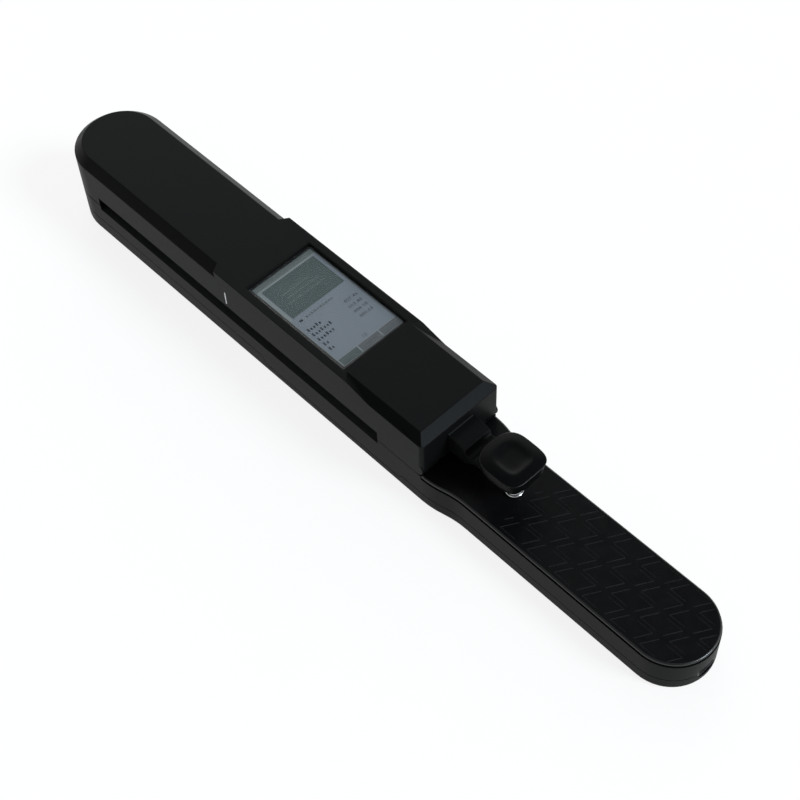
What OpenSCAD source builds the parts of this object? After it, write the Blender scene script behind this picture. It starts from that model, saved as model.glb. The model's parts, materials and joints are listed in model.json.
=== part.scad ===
// Leaf area meter: a hand-held wand whose upper arm carries the screen and hinges on a flat base.
// Pressing the thumb pad lifts the arm, a leaf goes into the side slot, and a spring closes the arm again.
// Millimetres. +Y runs along the wand to its tip, +X to the user's right, +Z up from the table.

/* [Overall] */
// Length from the end of the grip to the tip
total_len = 400; // [380:1:430]
// Width of both jaws
jaw_w = 46.8; // [45:0.2:52]
// Width of the grip
grip_w = 40.4; // [38:0.2:43]
// Height of the base, which is the level of the grip's top
base_h = 21; // [20:0.2:23]
// Height of the closed instrument
closed_h = 46.6; // [45.6:0.2:50]
// Wall of the moulded shells
wall = 2.4; // [2:0.1:2.8]
// Top wall of the shells
top_wall = 2; // [1.6:0.1:2.4]
// Gap between the arm and the base when closed
seam_gap = 0.4; // [0.3:0.05:0.6]

/* [Base] */
// Length of the curved shoulder between jaw and grip
shoulder_len = 24; // [18:1:40]
// Distance from the arm's front face to the wide end of the shoulder
shoulder_lead = 1.4; // [0:0.2:6]
// Radius along the bottom edge
bottom_r = 3; // [2:0.25:4]
// Floor of the lower cover
floor_t = 2; // [1.6:0.1:2.4]
// Height of the parting line near the tip
part_tip = 10; // [9:0.25:12]
// Height of the parting line under the display
part_mid = 6; // [5:0.25:7.5]
// Height of the parting line round the grip
part_grip = 8.2; // [8:0.1:8.8]
// Distance from the tip to the first step of the parting line
step_tip = 150; // [130:1:170]
// Distance from the arm's front face to the second step of the parting line
step_front = 16; // [10:1:20]
// Width and depth of the shadow groove along the parting line
shadow_gap = 0.4; // [0.2:0.05:0.6]

/* [Grip] */
// Thickness of the grip plate
plate_t = 2; // [1.8:0.1:2.4]
// Rounding of the grip plate's upper edge
plate_r = 0.8; // [0.4:0.1:1]
// Width of the groove under the grip plate's edge
groove_w = 1; // [0.6:0.1:1.2]
// Height of that groove
groove_h = 0.7; // [0.4:0.1:0.9]
// Width of the charging port's recess
port_w = 11.4; // [10.6:0.2:13]
// Height of the charging port's recess
port_h = 6.4; // [5.6:0.2:7]
// Height of the port's middle above the table
port_z = 8; // [7.6:0.1:8.6]
// Length of the battery
battery_len = 72; // [40:1:80]
// Width of the battery
battery_w = 23; // [18:0.5:23.5]
// Thickness of the battery
battery_t = 9; // [6:0.5:11]

/* [Arm] */
// Length of the arm from its front face to the tip
arm_len = 258.5; // [250:0.5:264]
// Width of the sloped edge along the top, seen from above
chamfer_w = 4.35; // [3:0.05:4.6]
// Height of that sloped edge beyond the display block
chamfer_h = 4.1; // [3:0.05:4.6]
// Height of that sloped edge between the front face and the display block
chamfer_front_h = 3.4; // [2.8:0.05:4.1]
// Run of the sloped edge over the front face, seen from above
front_run = 5.1; // [3:0.1:6]
// Drop of the sloped edge over the front face
front_drop = 3.6; // [2.4:0.1:4]
// Radius of the front upright edges
corner_r = 2; // [1:0.1:3]
// Radius of the hinge barrel that rounds the front lower edge
barrel_r = 4; // [3.8:0.05:4.4]
// Distance from the front face to the leaf slot
slot_from_front = 28.5; // [26:0.5:34]
// Length of the closed nose between the leaf slot and the tip
nose_len = 30; // [26:0.5:40]
// Height of the leaf slot above the base's top
slot_h = 5.8; // [5.4:0.1:6.4]
// Depth of the leaf table below the base's top
table_drop = 2.5; // [2:0.1:2.8]
// Distance from the front face to the full-width display block
block_from_front = 47; // [45:0.5:49.5]
// Length of the full-width display block
block_len = 89.5; // [82:0.5:95]
// How far the block's front facets run down along the arm
facet_run = 14.5; // [8:0.5:18]
// How far the block's front facets run between the wall and the top edge
facet_skew = 4; // [2:0.25:6]
// How far the block's tip facets run between the wall and the top edge
tip_skew = 2.75; // [1:0.25:6]

/* [Screen] */
// Width of the screen opening
screen_w = 38.06; // [34:0.02:38.6]
// Length of the screen opening
screen_len = 64.8; // [56:0.1:68]
// Distance from the front face to the screen opening
screen_from_front = 53; // [51:0.5:55]
// Border of the glass outside the opening
glass_border = 1.4; // [0.8:0.1:1.6]
// Thickness of the glass
glass_t = 1.1; // [0.7:0.1:1.6]
// Thickness of the rim over the glass
rim_t = 1; // [0.8:0.1:1.3]
// Thickness of the gasket between rim and glass
gasket_t = 0.4; // [0.2:0.1:0.6]
// Thickness of the display module
display_t = 4; // [3:0.2:4.6]
// Thickness of the circuit boards
board_t = 1.6; // [1:0.1:2]

/* [Thumb lever] */
// Width of the lever
lever_w = 15.8; // [15:0.2:18]
// Height of the lever's top above the grip
lever_rise = 16.8; // [16:0.2:18]
// How far the thick part of the lever stands out of the front face
lever_out = 10.25; // [8:0.25:12]
// How far the lever's top falls towards that end
lever_fall = 1.3; // [0.8:0.1:2.4]
// Depth of the groove between that end and the pad
lever_groove = 2.5; // [1.5:0.1:3]
// Thickness of the lever's arm under the pad
lever_t = 4.5; // [3.5:0.1:5]
// Width of the thumb pad
pad_w = 24; // [20:0.5:27]
// Length of the thumb pad
pad_len = 25; // [21:0.5:27]
// Height of the thumb pad
pad_h = 8; // [6:0.25:9]
// Corner radius of the thumb pad
pad_r = 6.5; // [4:0.25:9]
// Depth of the dish in the pad's top
dish_d = 1.6; // [0.8:0.1:2.4]
// Distance from the front face to the middle of the pad
pad_from_front = 30.3; // [29:0.1:34]
// Height of the pad's underside above the grip
pad_rise = 15.5; // [14.5:0.1:16.5]

/* [Spring] */
// Distance from the front face to the spring's axis
spring_from_front = 32.5; // [30:0.1:34.5]
// Outer diameter of the spring
spring_d = 8.4; // [7.4:0.1:9]
// Diameter of the spring's wire
wire_d = 1.1; // [0.8:0.05:1.3]
// Number of turns
spring_turns = 5; // [4:0.5:6]
// Diameter of the stud that holds the spring
stud_d = 5; // [4:0.1:5.4]
// Height of that stud
stud_h = 4.5; // [3:0.25:6]

/* [Hinge] */
// Diameter of the hinge pin
pin_d = 3; // [2.6:0.1:3.4]
// Radius of the base's hinge lugs
lug_r = 2.7; // [2.5:0.05:2.9]
// Length of a hinge bush, between the arm's side wall and a lug
bush_len = 3.6; // [3:0.1:4.6]
// Thickness of a lug
lug_t = 5; // [4:0.25:5.5]
// Outer diameter of the hinge bushes
bush_d = 5; // [4.4:0.1:5.6]
// Radial clearance of shafts and pins that turn
run_fit = 0.05; // [0.02:0.01:0.1]
// Clearance between moving pieces that only pass each other
pass_gap = 0.3; // [0.25:0.05:0.5]
// Clearance of pieces that are set into others
set_gap = 0.1; // [0.05:0.05:0.2]

/* [Optics] */
// Offset of the light and sensor line from the middle
optic_x = -6; // [-8:0.25:-5]
// Width of the two windows
window_w = 6; // [4:0.25:8]
// Thickness of the windows
window_t = 2; // [1.2:0.1:2]
// Width of the sensor bar
sensor_w = 12; // [10:0.25:13]
// Width of the light channel
channel_w = 14; // [11:0.25:14.5]
// Sheet of the light channel
channel_t = 1.2; // [0.8:0.1:1.6]
// Distance that the optics stop short of the slot's ends
optic_margin = 5; // [4:0.5:8]

/* [Measuring roller] */
// Radius of the roller
roller_r = 7.5; // [7:0.1:8]
// Length of the roller
roller_len = 20; // [14:0.5:26]
// Height of the roller above the leaf table
roller_proud = 0.6; // [0.3:0.1:0.8]
// Offset of the roller's axis from the middle
roller_x = 11; // [10.6:0.1:11.5]
// Distance from the slot's front end to the roller
roller_from_slot = 9; // [8:0.5:16]
// Diameter of the roller's shaft
shaft_d = 3; // [2.6:0.1:3.4]
// Thickness of the bearing blocks
bearing_t = 4; // [3:0.25:5]
// Diameter of the encoder disc
disc_d = 9; // [7:0.25:9.5]
// Thickness of the encoder disc
disc_t = 1; // [0.6:0.1:1.4]

/* [Hidden] */
$fn = 72;

black_shell = "#1c1d1d";
black_gloss = "#0b0b0c";
black_rubber = "#232425";
dark_cavity = "#101111";
steel = "#b9bcbf";
board_green = "#1f4a35";
glass_grey = "#8b9097";
white_acrylic = "#e8ecec";

// Places along the wand
tip_y = total_len / 2;
end_y = -total_len / 2;
tip_c = tip_y - jaw_w / 2;
grip_c = end_y + grip_w / 2;
front_y = tip_y - arm_len;
shoulder_y1 = front_y + shoulder_lead;
shoulder_y2 = shoulder_y1 - shoulder_len;
slot_y0 = front_y + slot_from_front;
slot_y1 = tip_y - nose_len;
slot_len = slot_y1 - slot_y0;
block_y0 = front_y + block_from_front;
block_y1 = block_y0 + block_len;
screen_y0 = front_y + screen_from_front;
pad_y = front_y - pad_from_front;
spring_y = front_y - spring_from_front;
optic_y0 = slot_y0 + optic_margin;
optic_len = slot_len - 2 * optic_margin;

// Curve of the shoulder: two arcs of one radius that meet on the line between their centres
shoulder_step = (jaw_w - grip_w) / 2;
shoulder_a = 2 * atan(shoulder_step / shoulder_len);
shoulder_r = shoulder_len / (2 * sin(shoulder_a));
loft_steps = 6;

// Heights
arm_z0 = base_h + seam_gap;
slot_z1 = base_h + slot_h;
tray_z1 = slot_z1 + window_t;
plate_z0 = base_h - plate_t;
table_z = base_h - table_drop;
jaw_ceiling = table_z - top_wall;
gasket_z1 = closed_h - rim_t;
glass_z1 = gasket_z1 - gasket_t;
display_z1 = glass_z1 - glass_t;
board_z1 = display_z1 - display_t;
board_z0 = board_z1 - board_t;
lever_z1 = base_h + lever_rise;
pad_z0 = base_h + pad_rise;
hinge_z = arm_z0 + barrel_r;
hinge_y = front_y + barrel_r;
lever_z0 = hinge_z + barrel_r + set_gap;
plate_y1 = hinge_y - lug_r - set_gap;

// Inside of the arm
inner_x = jaw_w / 2 - wall;
inner_z1 = closed_h - top_wall;
slope = norm([chamfer_w, chamfer_h]);
slope_x = jaw_w / 2 - chamfer_w - wall * chamfer_h / slope;
slope_z = closed_h - wall * chamfer_w / slope;
inner_slope_x = slope_x + (slope_z - inner_z1) * chamfer_w / chamfer_h;
inner_slope_z = slope_z - (inner_x - slope_x) * chamfer_h / chamfer_w;

// Hinge, from the side wall inwards: bush, gap and lug
bush_x1 = inner_x - set_gap;
bush_x0 = bush_x1 - bush_len;
lug_in = bush_x0 - pass_gap - lug_t;

// Measuring roller
roller_z = table_z + roller_proud - roller_r;
roller_y0 = slot_y0 + roller_from_slot;
roller_y1 = roller_y0 + roller_len;
bearing_gap = 1;
disc_y0 = roller_y1 + 2 * bearing_gap + bearing_t;

// Screws and the posts that they turn into
screw_r = 1.2;
screw_head_r = 2.3;
screw_head_h = 1.4;
screw_bite = 5;
post_r = 3;
cover_end_in = 26;
cover_grip_out = 60;
cover_front_in = 19;
cover_mid_in = 125;
cover_tip_in = 45;
cover_screw_y = [end_y + cover_end_in, front_y - cover_grip_out, front_y + cover_front_in,
    tip_y - cover_mid_in, tip_y - cover_tip_in];
tray_end_in = 7;
tray_screw_y = [slot_y0 + tray_end_in, (slot_y0 + slot_y1) / 2, slot_y1 - tray_end_in];
screw_sink = 0.8;
tray_screw_x = inner_x - post_r + set_gap;

// Flange that holds the lever behind the front wall
flange_t = 3;
flange_h = 11;
flange_out = 6;
lever_screw_x = (lever_w + flange_out) / 2;
lever_screw_z = lever_z0 + flange_h / 2;

// Charging socket, with the board that it stands on
socket_h = 3.2;
socket_w = 8.9;
socket_len = 7;
socket_t = 0.4;
socket_y0 = end_y + wall + set_gap;
charge_len = 18;
rib_t = 3;
charge_y0 = end_y + 2 * wall + set_gap;
board_rest_z = port_z - socket_h / 2 - board_t;
battery_gap = 4;
battery_y0 = charge_y0 + charge_len + battery_gap;

// Rubber stop under the nose
bumper_in = 12;
bumper_y = slot_y1 + bumper_in;
bumper_d = 10;
bumper_t = 2;
bumper_z = base_h + seam_gap / 2;

// Depth that the spring's stud is set into the grip plate
stud_set = 1;

// How far the main board reaches past the screen, to the front and to the tip
board_front = 15;
board_back = 35;

// Lip of the light window, which lies in the mouth of the light channel under the leaf table
lip_t = 1;

// How far the light channel and the sensor bar reach past the windows
optic_over = 2;

// Small overlap of shapes that are joined or cut
eps = 0.01;

// Height of the parting line at a place along the wand
function part_z(y) = y < front_y + step_front ? part_grip : y > tip_y - step_tip ? part_tip : part_mid;
// Distance from the middle to the cover screws at a place along the wand
function cover_screw_x(y) = (y < front_y ? grip_w : jaw_w) / 2 - wall - post_r + set_gap;

// Outline of the base seen from above, drawn in by d
module base_outline(d = 0) {
    shoulder_mid = (shoulder_y1 + shoulder_y2) / 2 + d * sin(shoulder_a);
    translate([0, tip_c]) circle(r = jaw_w / 2 - d);
    translate([-jaw_w / 2 + d, shoulder_y1]) square([jaw_w - 2 * d, tip_c - shoulder_y1]);
    translate([-grip_w / 2 + d, grip_c]) square([grip_w - 2 * d, shoulder_y2 - grip_c]);
    translate([0, grip_c]) circle(r = grip_w / 2 - d);
    for (side = [0, 1]) mirror([side, 0]) {
        intersection() {
            translate([jaw_w / 2 - shoulder_r, shoulder_y1]) circle(r = shoulder_r - d, $fn = 240);
            translate([0, shoulder_mid]) square([jaw_w / 2, shoulder_y1 - shoulder_mid]);
        }
        difference() {
            translate([0, shoulder_y2]) square([jaw_w / 2, shoulder_mid - shoulder_y2]);
            translate([grip_w / 2 + shoulder_r, shoulder_y2]) circle(r = shoulder_r + d, $fn = 240);
        }
    }
}

// Outline of the arm seen from above
module arm_outline() {
    translate([0, tip_c]) circle(r = jaw_w / 2);
    translate([-jaw_w / 2, front_y + corner_r]) square([jaw_w, tip_c - front_y - corner_r]);
    translate([-jaw_w / 2 + corner_r, front_y]) square([jaw_w - 2 * corner_r, corner_r]);
    for (side = [-1, 1]) translate([side * (jaw_w / 2 - corner_r), front_y + corner_r]) circle(r = corner_r);
}

// Half section of a tray wall with a rounded lower edge: w wide, h high
module edge_section(w, h) {
    square([w - bottom_r, h]);
    translate([0, bottom_r]) square([w, h - bottom_r]);
    translate([w - bottom_r, bottom_r]) circle(r = bottom_r);
}

module full_section(w, h) {
    edge_section(w, h);
    mirror([1, 0]) edge_section(w, h);
}

// Half width of the base at a place on the shoulder
function shoulder_x(y) = y > (shoulder_y1 + shoulder_y2) / 2
    ? jaw_w / 2 - shoulder_r + sqrt(pow(shoulder_r, 2) - pow(y - shoulder_y1, 2))
    : grip_w / 2 + shoulder_r - sqrt(pow(shoulder_r, 2) - pow(y - shoulder_y2, 2));

// Thin slice of the shoulder, as a station of its loft
module shoulder_slice(y, h) {
    translate([0, y, 0]) rotate([90, 0, 0])
        linear_extrude(2 * eps, center = true) full_section(shoulder_x(y), h, $fn = 32);
}

// The base as one block with a rounded bottom edge, h high
module base_block(h) {
    translate([0, tip_c, 0]) rotate_extrude(angle = 180) edge_section(jaw_w / 2, h);
    translate([0, tip_c, 0]) rotate([90, 0, 0])
        linear_extrude(tip_c - shoulder_y1) full_section(jaw_w / 2, h);
    for (i = [0:loft_steps - 1]) hull() {
        shoulder_slice(shoulder_y2 + shoulder_len * i / loft_steps, h);
        shoulder_slice(shoulder_y2 + shoulder_len * (i + 1) / loft_steps, h);
    }
    translate([0, shoulder_y2, 0]) rotate([90, 0, 0])
        linear_extrude(shoulder_y2 - grip_c) full_section(grip_w / 2, h);
    translate([0, grip_c, 0]) rotate([0, 0, 180]) rotate_extrude(angle = 180) edge_section(grip_w / 2, h);
}

// Everything under the stepped parting line, lowered by drop
module under_parting(drop = 0) {
    y_tip = tip_y - step_tip;
    y_front = front_y + step_front;
    run_tip = part_tip - part_mid;
    run_grip = part_grip - part_mid;
    far = total_len;
    rotate([90, 0, 90]) translate([0, -drop]) linear_extrude(2 * jaw_w, center = true) polygon([
        [-far, -far], [far, -far], [far, part_tip], [y_tip, part_tip], [y_tip - run_tip, part_mid],
        [y_front, part_mid], [y_front - run_grip, part_grip], [-far, part_grip]]);
}

// Half space above the plane through p with normal n
module above(p, n) {
    reach = total_len;
    translate(p) rotate(a = acos(n.z / norm(n)), v = cross([0, 0, 1], n))
        translate([-reach, -reach, 0]) cube([2 * reach, 2 * reach, reach]);
}

// Bar along X between two places, round
module bar_x(r, x0, x1, y, z) {
    translate([x0, y, z]) rotate([0, 90, 0]) cylinder(r = r, h = x1 - x0);
}

// Bar along Y between two places, round
module bar_y(r, y0, y1, x, z) {
    translate([x, y1, z]) rotate([90, 0, 0]) cylinder(r = r, h = y1 - y0);
}

// Slot with round ends seen along Y: w wide, h high
module stadium_y(w, h, y0, y1, z) {
    translate([0, y1, z]) rotate([90, 0, 0]) linear_extrude(y1 - y0) {
        square([w - h, h], center = true);
        for (side = [-1, 1]) translate([side * (w - h) / 2, 0]) circle(d = h);
    }
}

// Block between two corners
module block(a, b) {
    translate(a) cube(b - a);
}

module base_shell() {
    color(black_shell) difference() {
        union() {
            difference() {
                linear_extrude(base_h) base_outline();
                under_parting();
                translate([0, 0, -eps]) linear_extrude(jaw_ceiling + eps) base_outline(wall);
                block([-jaw_w, end_y - 1, plate_z0], [jaw_w, plate_y1 + set_gap, base_h + 1]);
                block([-jaw_w, slot_y0, table_z], [jaw_w, slot_y1, base_h + 1]);
            }
            for (y = cover_screw_y, side = [-1, 1])
                translate([side * cover_screw_x(y), y, part_z(y)])
                    cylinder(r = post_r, h = jaw_ceiling - part_z(y));
            for (side = [0, 1]) mirror([side, 0, 0]) {
                block([lug_in, hinge_y - lug_r, jaw_ceiling], [lug_in + lug_t, hinge_y + lug_r, hinge_z]);
                bar_x(lug_r, lug_in, lug_in + lug_t, hinge_y, hinge_z);
            }
        }
        bar_x(pin_d / 2 + run_fit, -jaw_w, jaw_w, hinge_y, hinge_z);
        for (y = cover_screw_y, side = [-1, 1])
            translate([side * cover_screw_x(y), y, part_z(y) - eps])
                cylinder(r = screw_r + set_gap, h = screw_bite + 1);
        window_block(0, base_h + 1);
        roller_window();
        stadium_y(port_w, port_h, end_y - 1, end_y + 2 * wall, port_z);
    }
}

// Block over the length of the optics between two heights, drawn out by d
module window_block(z0, z1, d = 0) {
    block([optic_x - window_w / 2 - d, optic_y0 - d, z0],
        [optic_x + window_w / 2 + d, optic_y0 + optic_len + d, z1]);
}

// Opening of the leaf table round the measuring roller
module roller_window() {
    half = sqrt(pow(roller_r, 2) - pow(jaw_ceiling - roller_z, 2)) + 2 * pass_gap;
    block([roller_x - half, roller_y0 - bearing_gap, jaw_ceiling - 1],
        [roller_x + half, roller_y1 + bearing_gap, base_h + 1]);
}

module lower_cover() {
    color(black_shell) difference() {
        union() {
            difference() {
                intersection() {
                    base_block(part_tip + 1);
                    under_parting();
                }
                translate([0, 0, floor_t]) linear_extrude(base_h) base_outline(wall);
                intersection() {
                    difference() {
                        under_parting(-eps);
                        under_parting(shadow_gap);
                    }
                    difference() {
                        linear_extrude(base_h) base_outline(-1);
                        linear_extrude(base_h) base_outline(shadow_gap);
                    }
                }
            }
            for (y = cover_screw_y, side = [-1, 1])
                translate([side * cover_screw_x(y), y, 1]) cylinder(r = post_r, h = part_z(y) - 1);
            for (side = [-1, 1])
                translate([side * port_w / 2, charge_y0 + charge_len / 2, board_rest_z / 2 + floor_t / 4])
                    cube([rib_t, charge_len, board_rest_z - floor_t / 2], center = true);
        }
        for (y = cover_screw_y, side = [-1, 1]) translate([side * cover_screw_x(y), y, -eps]) {
            cylinder(r = screw_head_r + set_gap, h = screw_sink + screw_head_h + eps);
            cylinder(r = screw_r + set_gap, h = base_h);
        }
        stadium_y(port_w, port_h, end_y - 1, end_y + 2 * wall, port_z);
    }
}

module grip_plate() {
    color(black_gloss) difference() {
        intersection() {
            union() {
                translate([0, 0, plate_z0]) linear_extrude(plate_t - groove_h) base_outline(groove_w);
                translate([0, 0, plate_z0 + groove_h])
                    linear_extrude(plate_t - groove_h - plate_r) base_outline(shadow_gap);
                plate_edge();
            }
            block([-jaw_w, end_y - 1, 0], [jaw_w, plate_y1, base_h]);
        }
        translate([0, spring_y, base_h - stud_set]) cylinder(d = stud_d + 2 * set_gap, h = 2 * stud_set);
    }
}

// Upper layer of the grip plate, drawn in step by step to round its edge
module plate_edge() {
    steps = 4;
    for (i = [0:steps - 1]) {
        draw_in = plate_r * (1 - cos(90 * (i + 0.5) / steps));
        translate([0, 0, base_h - plate_r + plate_r * sin(90 * i / steps) - eps])
            linear_extrude(plate_r * (sin(90 * (i + 1) / steps) - sin(90 * i / steps)) + eps)
                base_outline(shadow_gap + draw_in);
    }
}

module battery_pack() {
    color("slategray") translate([-battery_w / 2, battery_y0, floor_t])
        cube([battery_w, battery_len, battery_t]);
}

module charge_board() {
    width = port_w + 4;
    color(board_green) translate([-width / 2, charge_y0, board_rest_z]) cube([width, charge_len, board_t]);
}

module charge_socket() {
    back_y = socket_y0 + socket_len;
    double_t = 2 * socket_t;
    color(steel) difference() {
        stadium_y(socket_w, socket_h, socket_y0, back_y, port_z);
        stadium_y(socket_w - double_t, socket_h - double_t, socket_y0 - eps, back_y - double_t, port_z);
    }
}

module port_frame() {
    y0 = end_y + wall / 3;
    color(dark_cavity) difference() {
        stadium_y(port_w - 2 * set_gap, port_h - 2 * set_gap, y0, y0 + wall, port_z);
        stadium_y(socket_w + 2 * set_gap, socket_h + 2 * set_gap, y0 - eps, y0 + wall + 1, port_z);
    }
}

// Screw along Z, head down
module screw_up(head_z, length) {
    translate([0, 0, head_z]) cylinder(r = screw_head_r, h = screw_head_h);
    translate([0, 0, head_z]) cylinder(r = screw_r, h = screw_head_h + length);
}

module cover_screws() {
    color(steel) for (y = cover_screw_y, side = [-1, 1])
        translate([side * cover_screw_x(y), y, 0])
            screw_up(screw_sink, part_z(y) - screw_sink - screw_head_h + screw_bite);
}

module hinge_pin() {
    color(steel) bar_x(pin_d / 2, -inner_x + set_gap, jaw_w / 2 - shadow_gap, hinge_y, hinge_z);
}

module spring_stud() {
    tip_h = 1;
    color(steel) translate([0, spring_y, base_h - stud_set]) {
        cylinder(d = stud_d, h = stud_set + stud_h - tip_h);
        translate([0, 0, stud_set + stud_h - tip_h])
            cylinder(d1 = stud_d, d2 = stud_d - 2 * tip_h, h = tip_h);
    }
}

// The spring's wire lies on a cylinder. Unrolled, it runs upright, bends to the helix's slope, climbs,
// and bends upright again, so both ends stand square on what they meet.
coil_r = (spring_d - wire_d) / 2;
bend_r = 1.3 * wire_d;
bend_rings = 4;
curl_rings = 8;
wire_sides = 6;
wire_run = spring_turns * 2 * PI * coil_r - 2 * bend_r;
wire_rise = pad_rise - 2 * wire_d - 2 * bend_r;
wire_slope = atan(wire_rise / wire_run);
climb_rings = round(curl_rings * spring_turns);
bend_u = bend_r * (1 - sin(wire_slope));
bend_z = bend_r * cos(wire_slope);
climb_u = wire_run + 2 * bend_r * sin(wire_slope);
climb_z = wire_rise + 2 * bend_r * (1 - cos(wire_slope));

// Stations of the unrolled wire: distance round the cylinder, height and slope
stations = concat(
    [[0, 0, 90], [0, wire_d, 90]],
    [for (i = [1:bend_rings]) let (a = 90 - (90 - wire_slope) * i / bend_rings)
        [bend_r * (1 - sin(a)), wire_d + bend_r * cos(a), a]],
    [for (i = [1:climb_rings]) let (k = i / climb_rings)
        [bend_u + climb_u * k, wire_d + bend_z + climb_z * k, wire_slope]],
    [for (i = [1:bend_rings]) let (a = wire_slope + (90 - wire_slope) * i / bend_rings)
        [bend_u + climb_u + bend_r * (sin(a) - sin(wire_slope)),
            wire_d + bend_z + climb_z + bend_r * (cos(wire_slope) - cos(a)), a]],
    [[2 * bend_u + climb_u, pad_rise, 90]]);

function turn_of(s) = s[0] / coil_r * 180 / PI;
function outward(s) = [cos(turn_of(s)), sin(turn_of(s)), 0];
function forward(s) = [-sin(turn_of(s)) * cos(s[2]), cos(turn_of(s)) * cos(s[2]), sin(s[2])];
function centre(s) = coil_r * outward(s) + [0, 0, s[1]];
function ring(s) = let (side_way = cross(forward(s), outward(s)))
    [for (k = [0:wire_sides - 1]) let (a = 360 * k / wire_sides)
        centre(s) + wire_d / 2 * (cos(a) * outward(s) + sin(a) * side_way)];

// Least gap between turns, measured on the wire's stations that lie more than half a turn apart
wire_gap = min([for (i = [0:len(stations) - 1], j = [i + curl_rings / 2 + 2 * bend_rings:1:len(stations) - 1])
    norm(centre(stations[i]) - centre(stations[j]))]) - wire_d;
echo(spring_least_gap = wire_gap);

module return_spring() {
    last = len(stations) - 1;
    sides = wire_sides;
    points = [for (s = stations) each ring(s)];
    walls = [for (i = [0:last - 1], k = [0:sides - 1])
        let (a = i * sides + k, b = i * sides + (k + 1) % sides)
            each [[a, a + sides, b], [b, a + sides, b + sides]]];
    first_cap = [for (k = [1:sides - 2]) [0, k, k + 1]];
    last_cap = [for (k = [1:sides - 2]) [last * sides, last * sides + k + 1, last * sides + k]];
    color(steel) translate([0, spring_y, base_h])
        polyhedron(points = points, faces = concat(walls, first_cap, last_cap));
}

module light_channel() {
    x0 = optic_x - channel_w / 2;
    color(steel) difference() {
        block([x0, optic_y0 - optic_over, floor_t],
            [x0 + channel_w, optic_y0 + optic_len + optic_over, jaw_ceiling]);
        block([x0 + channel_t, optic_y0 - 2 * optic_over, floor_t + channel_t],
            [x0 + channel_w - channel_t, optic_y0 + optic_len + 2 * optic_over, base_h]);
    }
}

module lamp_board() {
    x0 = optic_x - channel_w / 2 + channel_t + set_gap;
    z0 = floor_t + channel_t;
    lamp = 3;
    lamp_pitch = 12;
    color(board_green) block([x0, optic_y0, z0], [2 * optic_x - x0, optic_y0 + optic_len, z0 + board_t]);
    color(white_acrylic) for (y = [optic_y0 + lamp_pitch / 2:lamp_pitch:optic_y0 + optic_len - lamp])
        block([optic_x - lamp / 2, y, z0 + board_t], [optic_x + lamp / 2, y + lamp, z0 + board_t + 1]);
}

module light_window() {
    half = channel_w / 2 - channel_t - set_gap;
    color(white_acrylic) {
        window_block(jaw_ceiling - lip_t, table_z, -set_gap);
        block([optic_x - half, optic_y0 - optic_over, jaw_ceiling - lip_t],
            [optic_x + half, optic_y0 + optic_len + optic_over, jaw_ceiling]);
    }
}

module roller_bearings() {
    half = roller_r - 2;
    color(black_shell) for (y = [roller_y0 - bearing_gap - bearing_t, roller_y1 + bearing_gap]) difference() {
        block([roller_x - half, y, roller_z - shaft_d], [roller_x + half, y + bearing_t, jaw_ceiling]);
        bar_y(shaft_d / 2 + run_fit, y - 1, y + bearing_t + 1, roller_x, roller_z);
    }
}

module encoder_sensor() {
    half = 3;
    mouth = 1;
    mouth_z = roller_z - disc_d / 2 - mouth;
    color(dark_cavity) difference() {
        block([roller_x - half, disc_y0 - half, floor_t],
            [roller_x + half, disc_y0 + disc_t + half, roller_z - shaft_d]);
        block([roller_x - jaw_w, disc_y0 - mouth, mouth_z],
            [roller_x + jaw_w, disc_y0 + disc_t + mouth, base_h]);
    }
}

// Sloped cut of height h along the arm's top edge, as a section with x outwards and y up
module slope_cut(h) {
    over = 1;
    k = h / chamfer_w;
    translate([jaw_w / 2, closed_h - h])
        polygon([[-chamfer_w - over, h + over * k], [over, -over * k], [over, h + over * k]]);
}

// All the sloped edges of the arm: round the nose, along both sides and over the front face
module arm_slopes() {
    x = jaw_w / 2;
    up = [x - chamfer_w, block_y0 + facet_skew, closed_h];
    skew = cross([-chamfer_w, facet_skew, 0], [0, -facet_run, -chamfer_front_h]);
    nose_y0 = block_y1 - 1;
    translate([0, tip_c, 0]) rotate_extrude(angle = 180) slope_cut(chamfer_h);
    for (side = [0, 1]) mirror([side, 0, 0]) {
        intersection() {
            translate([0, tip_c, 0]) rotate([90, 0, 0]) linear_extrude(tip_c - nose_y0) slope_cut(chamfer_h);
            above([x, block_y1, 0], [tip_skew, chamfer_w, 0]);
        }
        intersection() {
            translate([0, up.y + 1, 0]) rotate([90, 0, 0]) linear_extrude(up.y + 2 - front_y)
                slope_cut(chamfer_front_h);
            above(up, skew);
        }
    }
    over = 1;
    k = front_drop / front_run;
    rotate([90, 0, 90]) linear_extrude(2 * jaw_w, center = true) polygon([
        [front_y - over, closed_h - front_drop - over * k], [front_y + front_run + over, closed_h + over * k],
        [front_y - over, closed_h + over * k]]);
}

// Section of the arm's inside
module arm_inside(z0) {
    polygon([[0, z0], [inner_x, z0], [inner_x, inner_slope_z], [inner_slope_x, inner_z1], [0, inner_z1]]);
}

// Hollow of the arm: the long space over the tray, the bay for the hinge and the pocket for the display
module arm_hollow() {
    translate([0, tip_c, 0]) rotate_extrude(angle = 180) arm_inside(tray_z1);
    for (side = [0, 1]) mirror([side, 0, 0]) translate([0, tip_c, 0]) rotate([90, 0, 0])
        linear_extrude(tip_c - front_y - wall) arm_inside(tray_z1);
    block([-inner_x, slot_y0, slot_z1 - 1], [inner_x, slot_y1, tray_z1 + eps]);
    block([-inner_x, front_y + wall, base_h], [inner_x, slot_y0 - wall, tray_z1 + eps]);
    screen_block(inner_z1 - 1, closed_h + 1);
    screen_block(board_z0, gasket_z1, glass_border);
}

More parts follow.
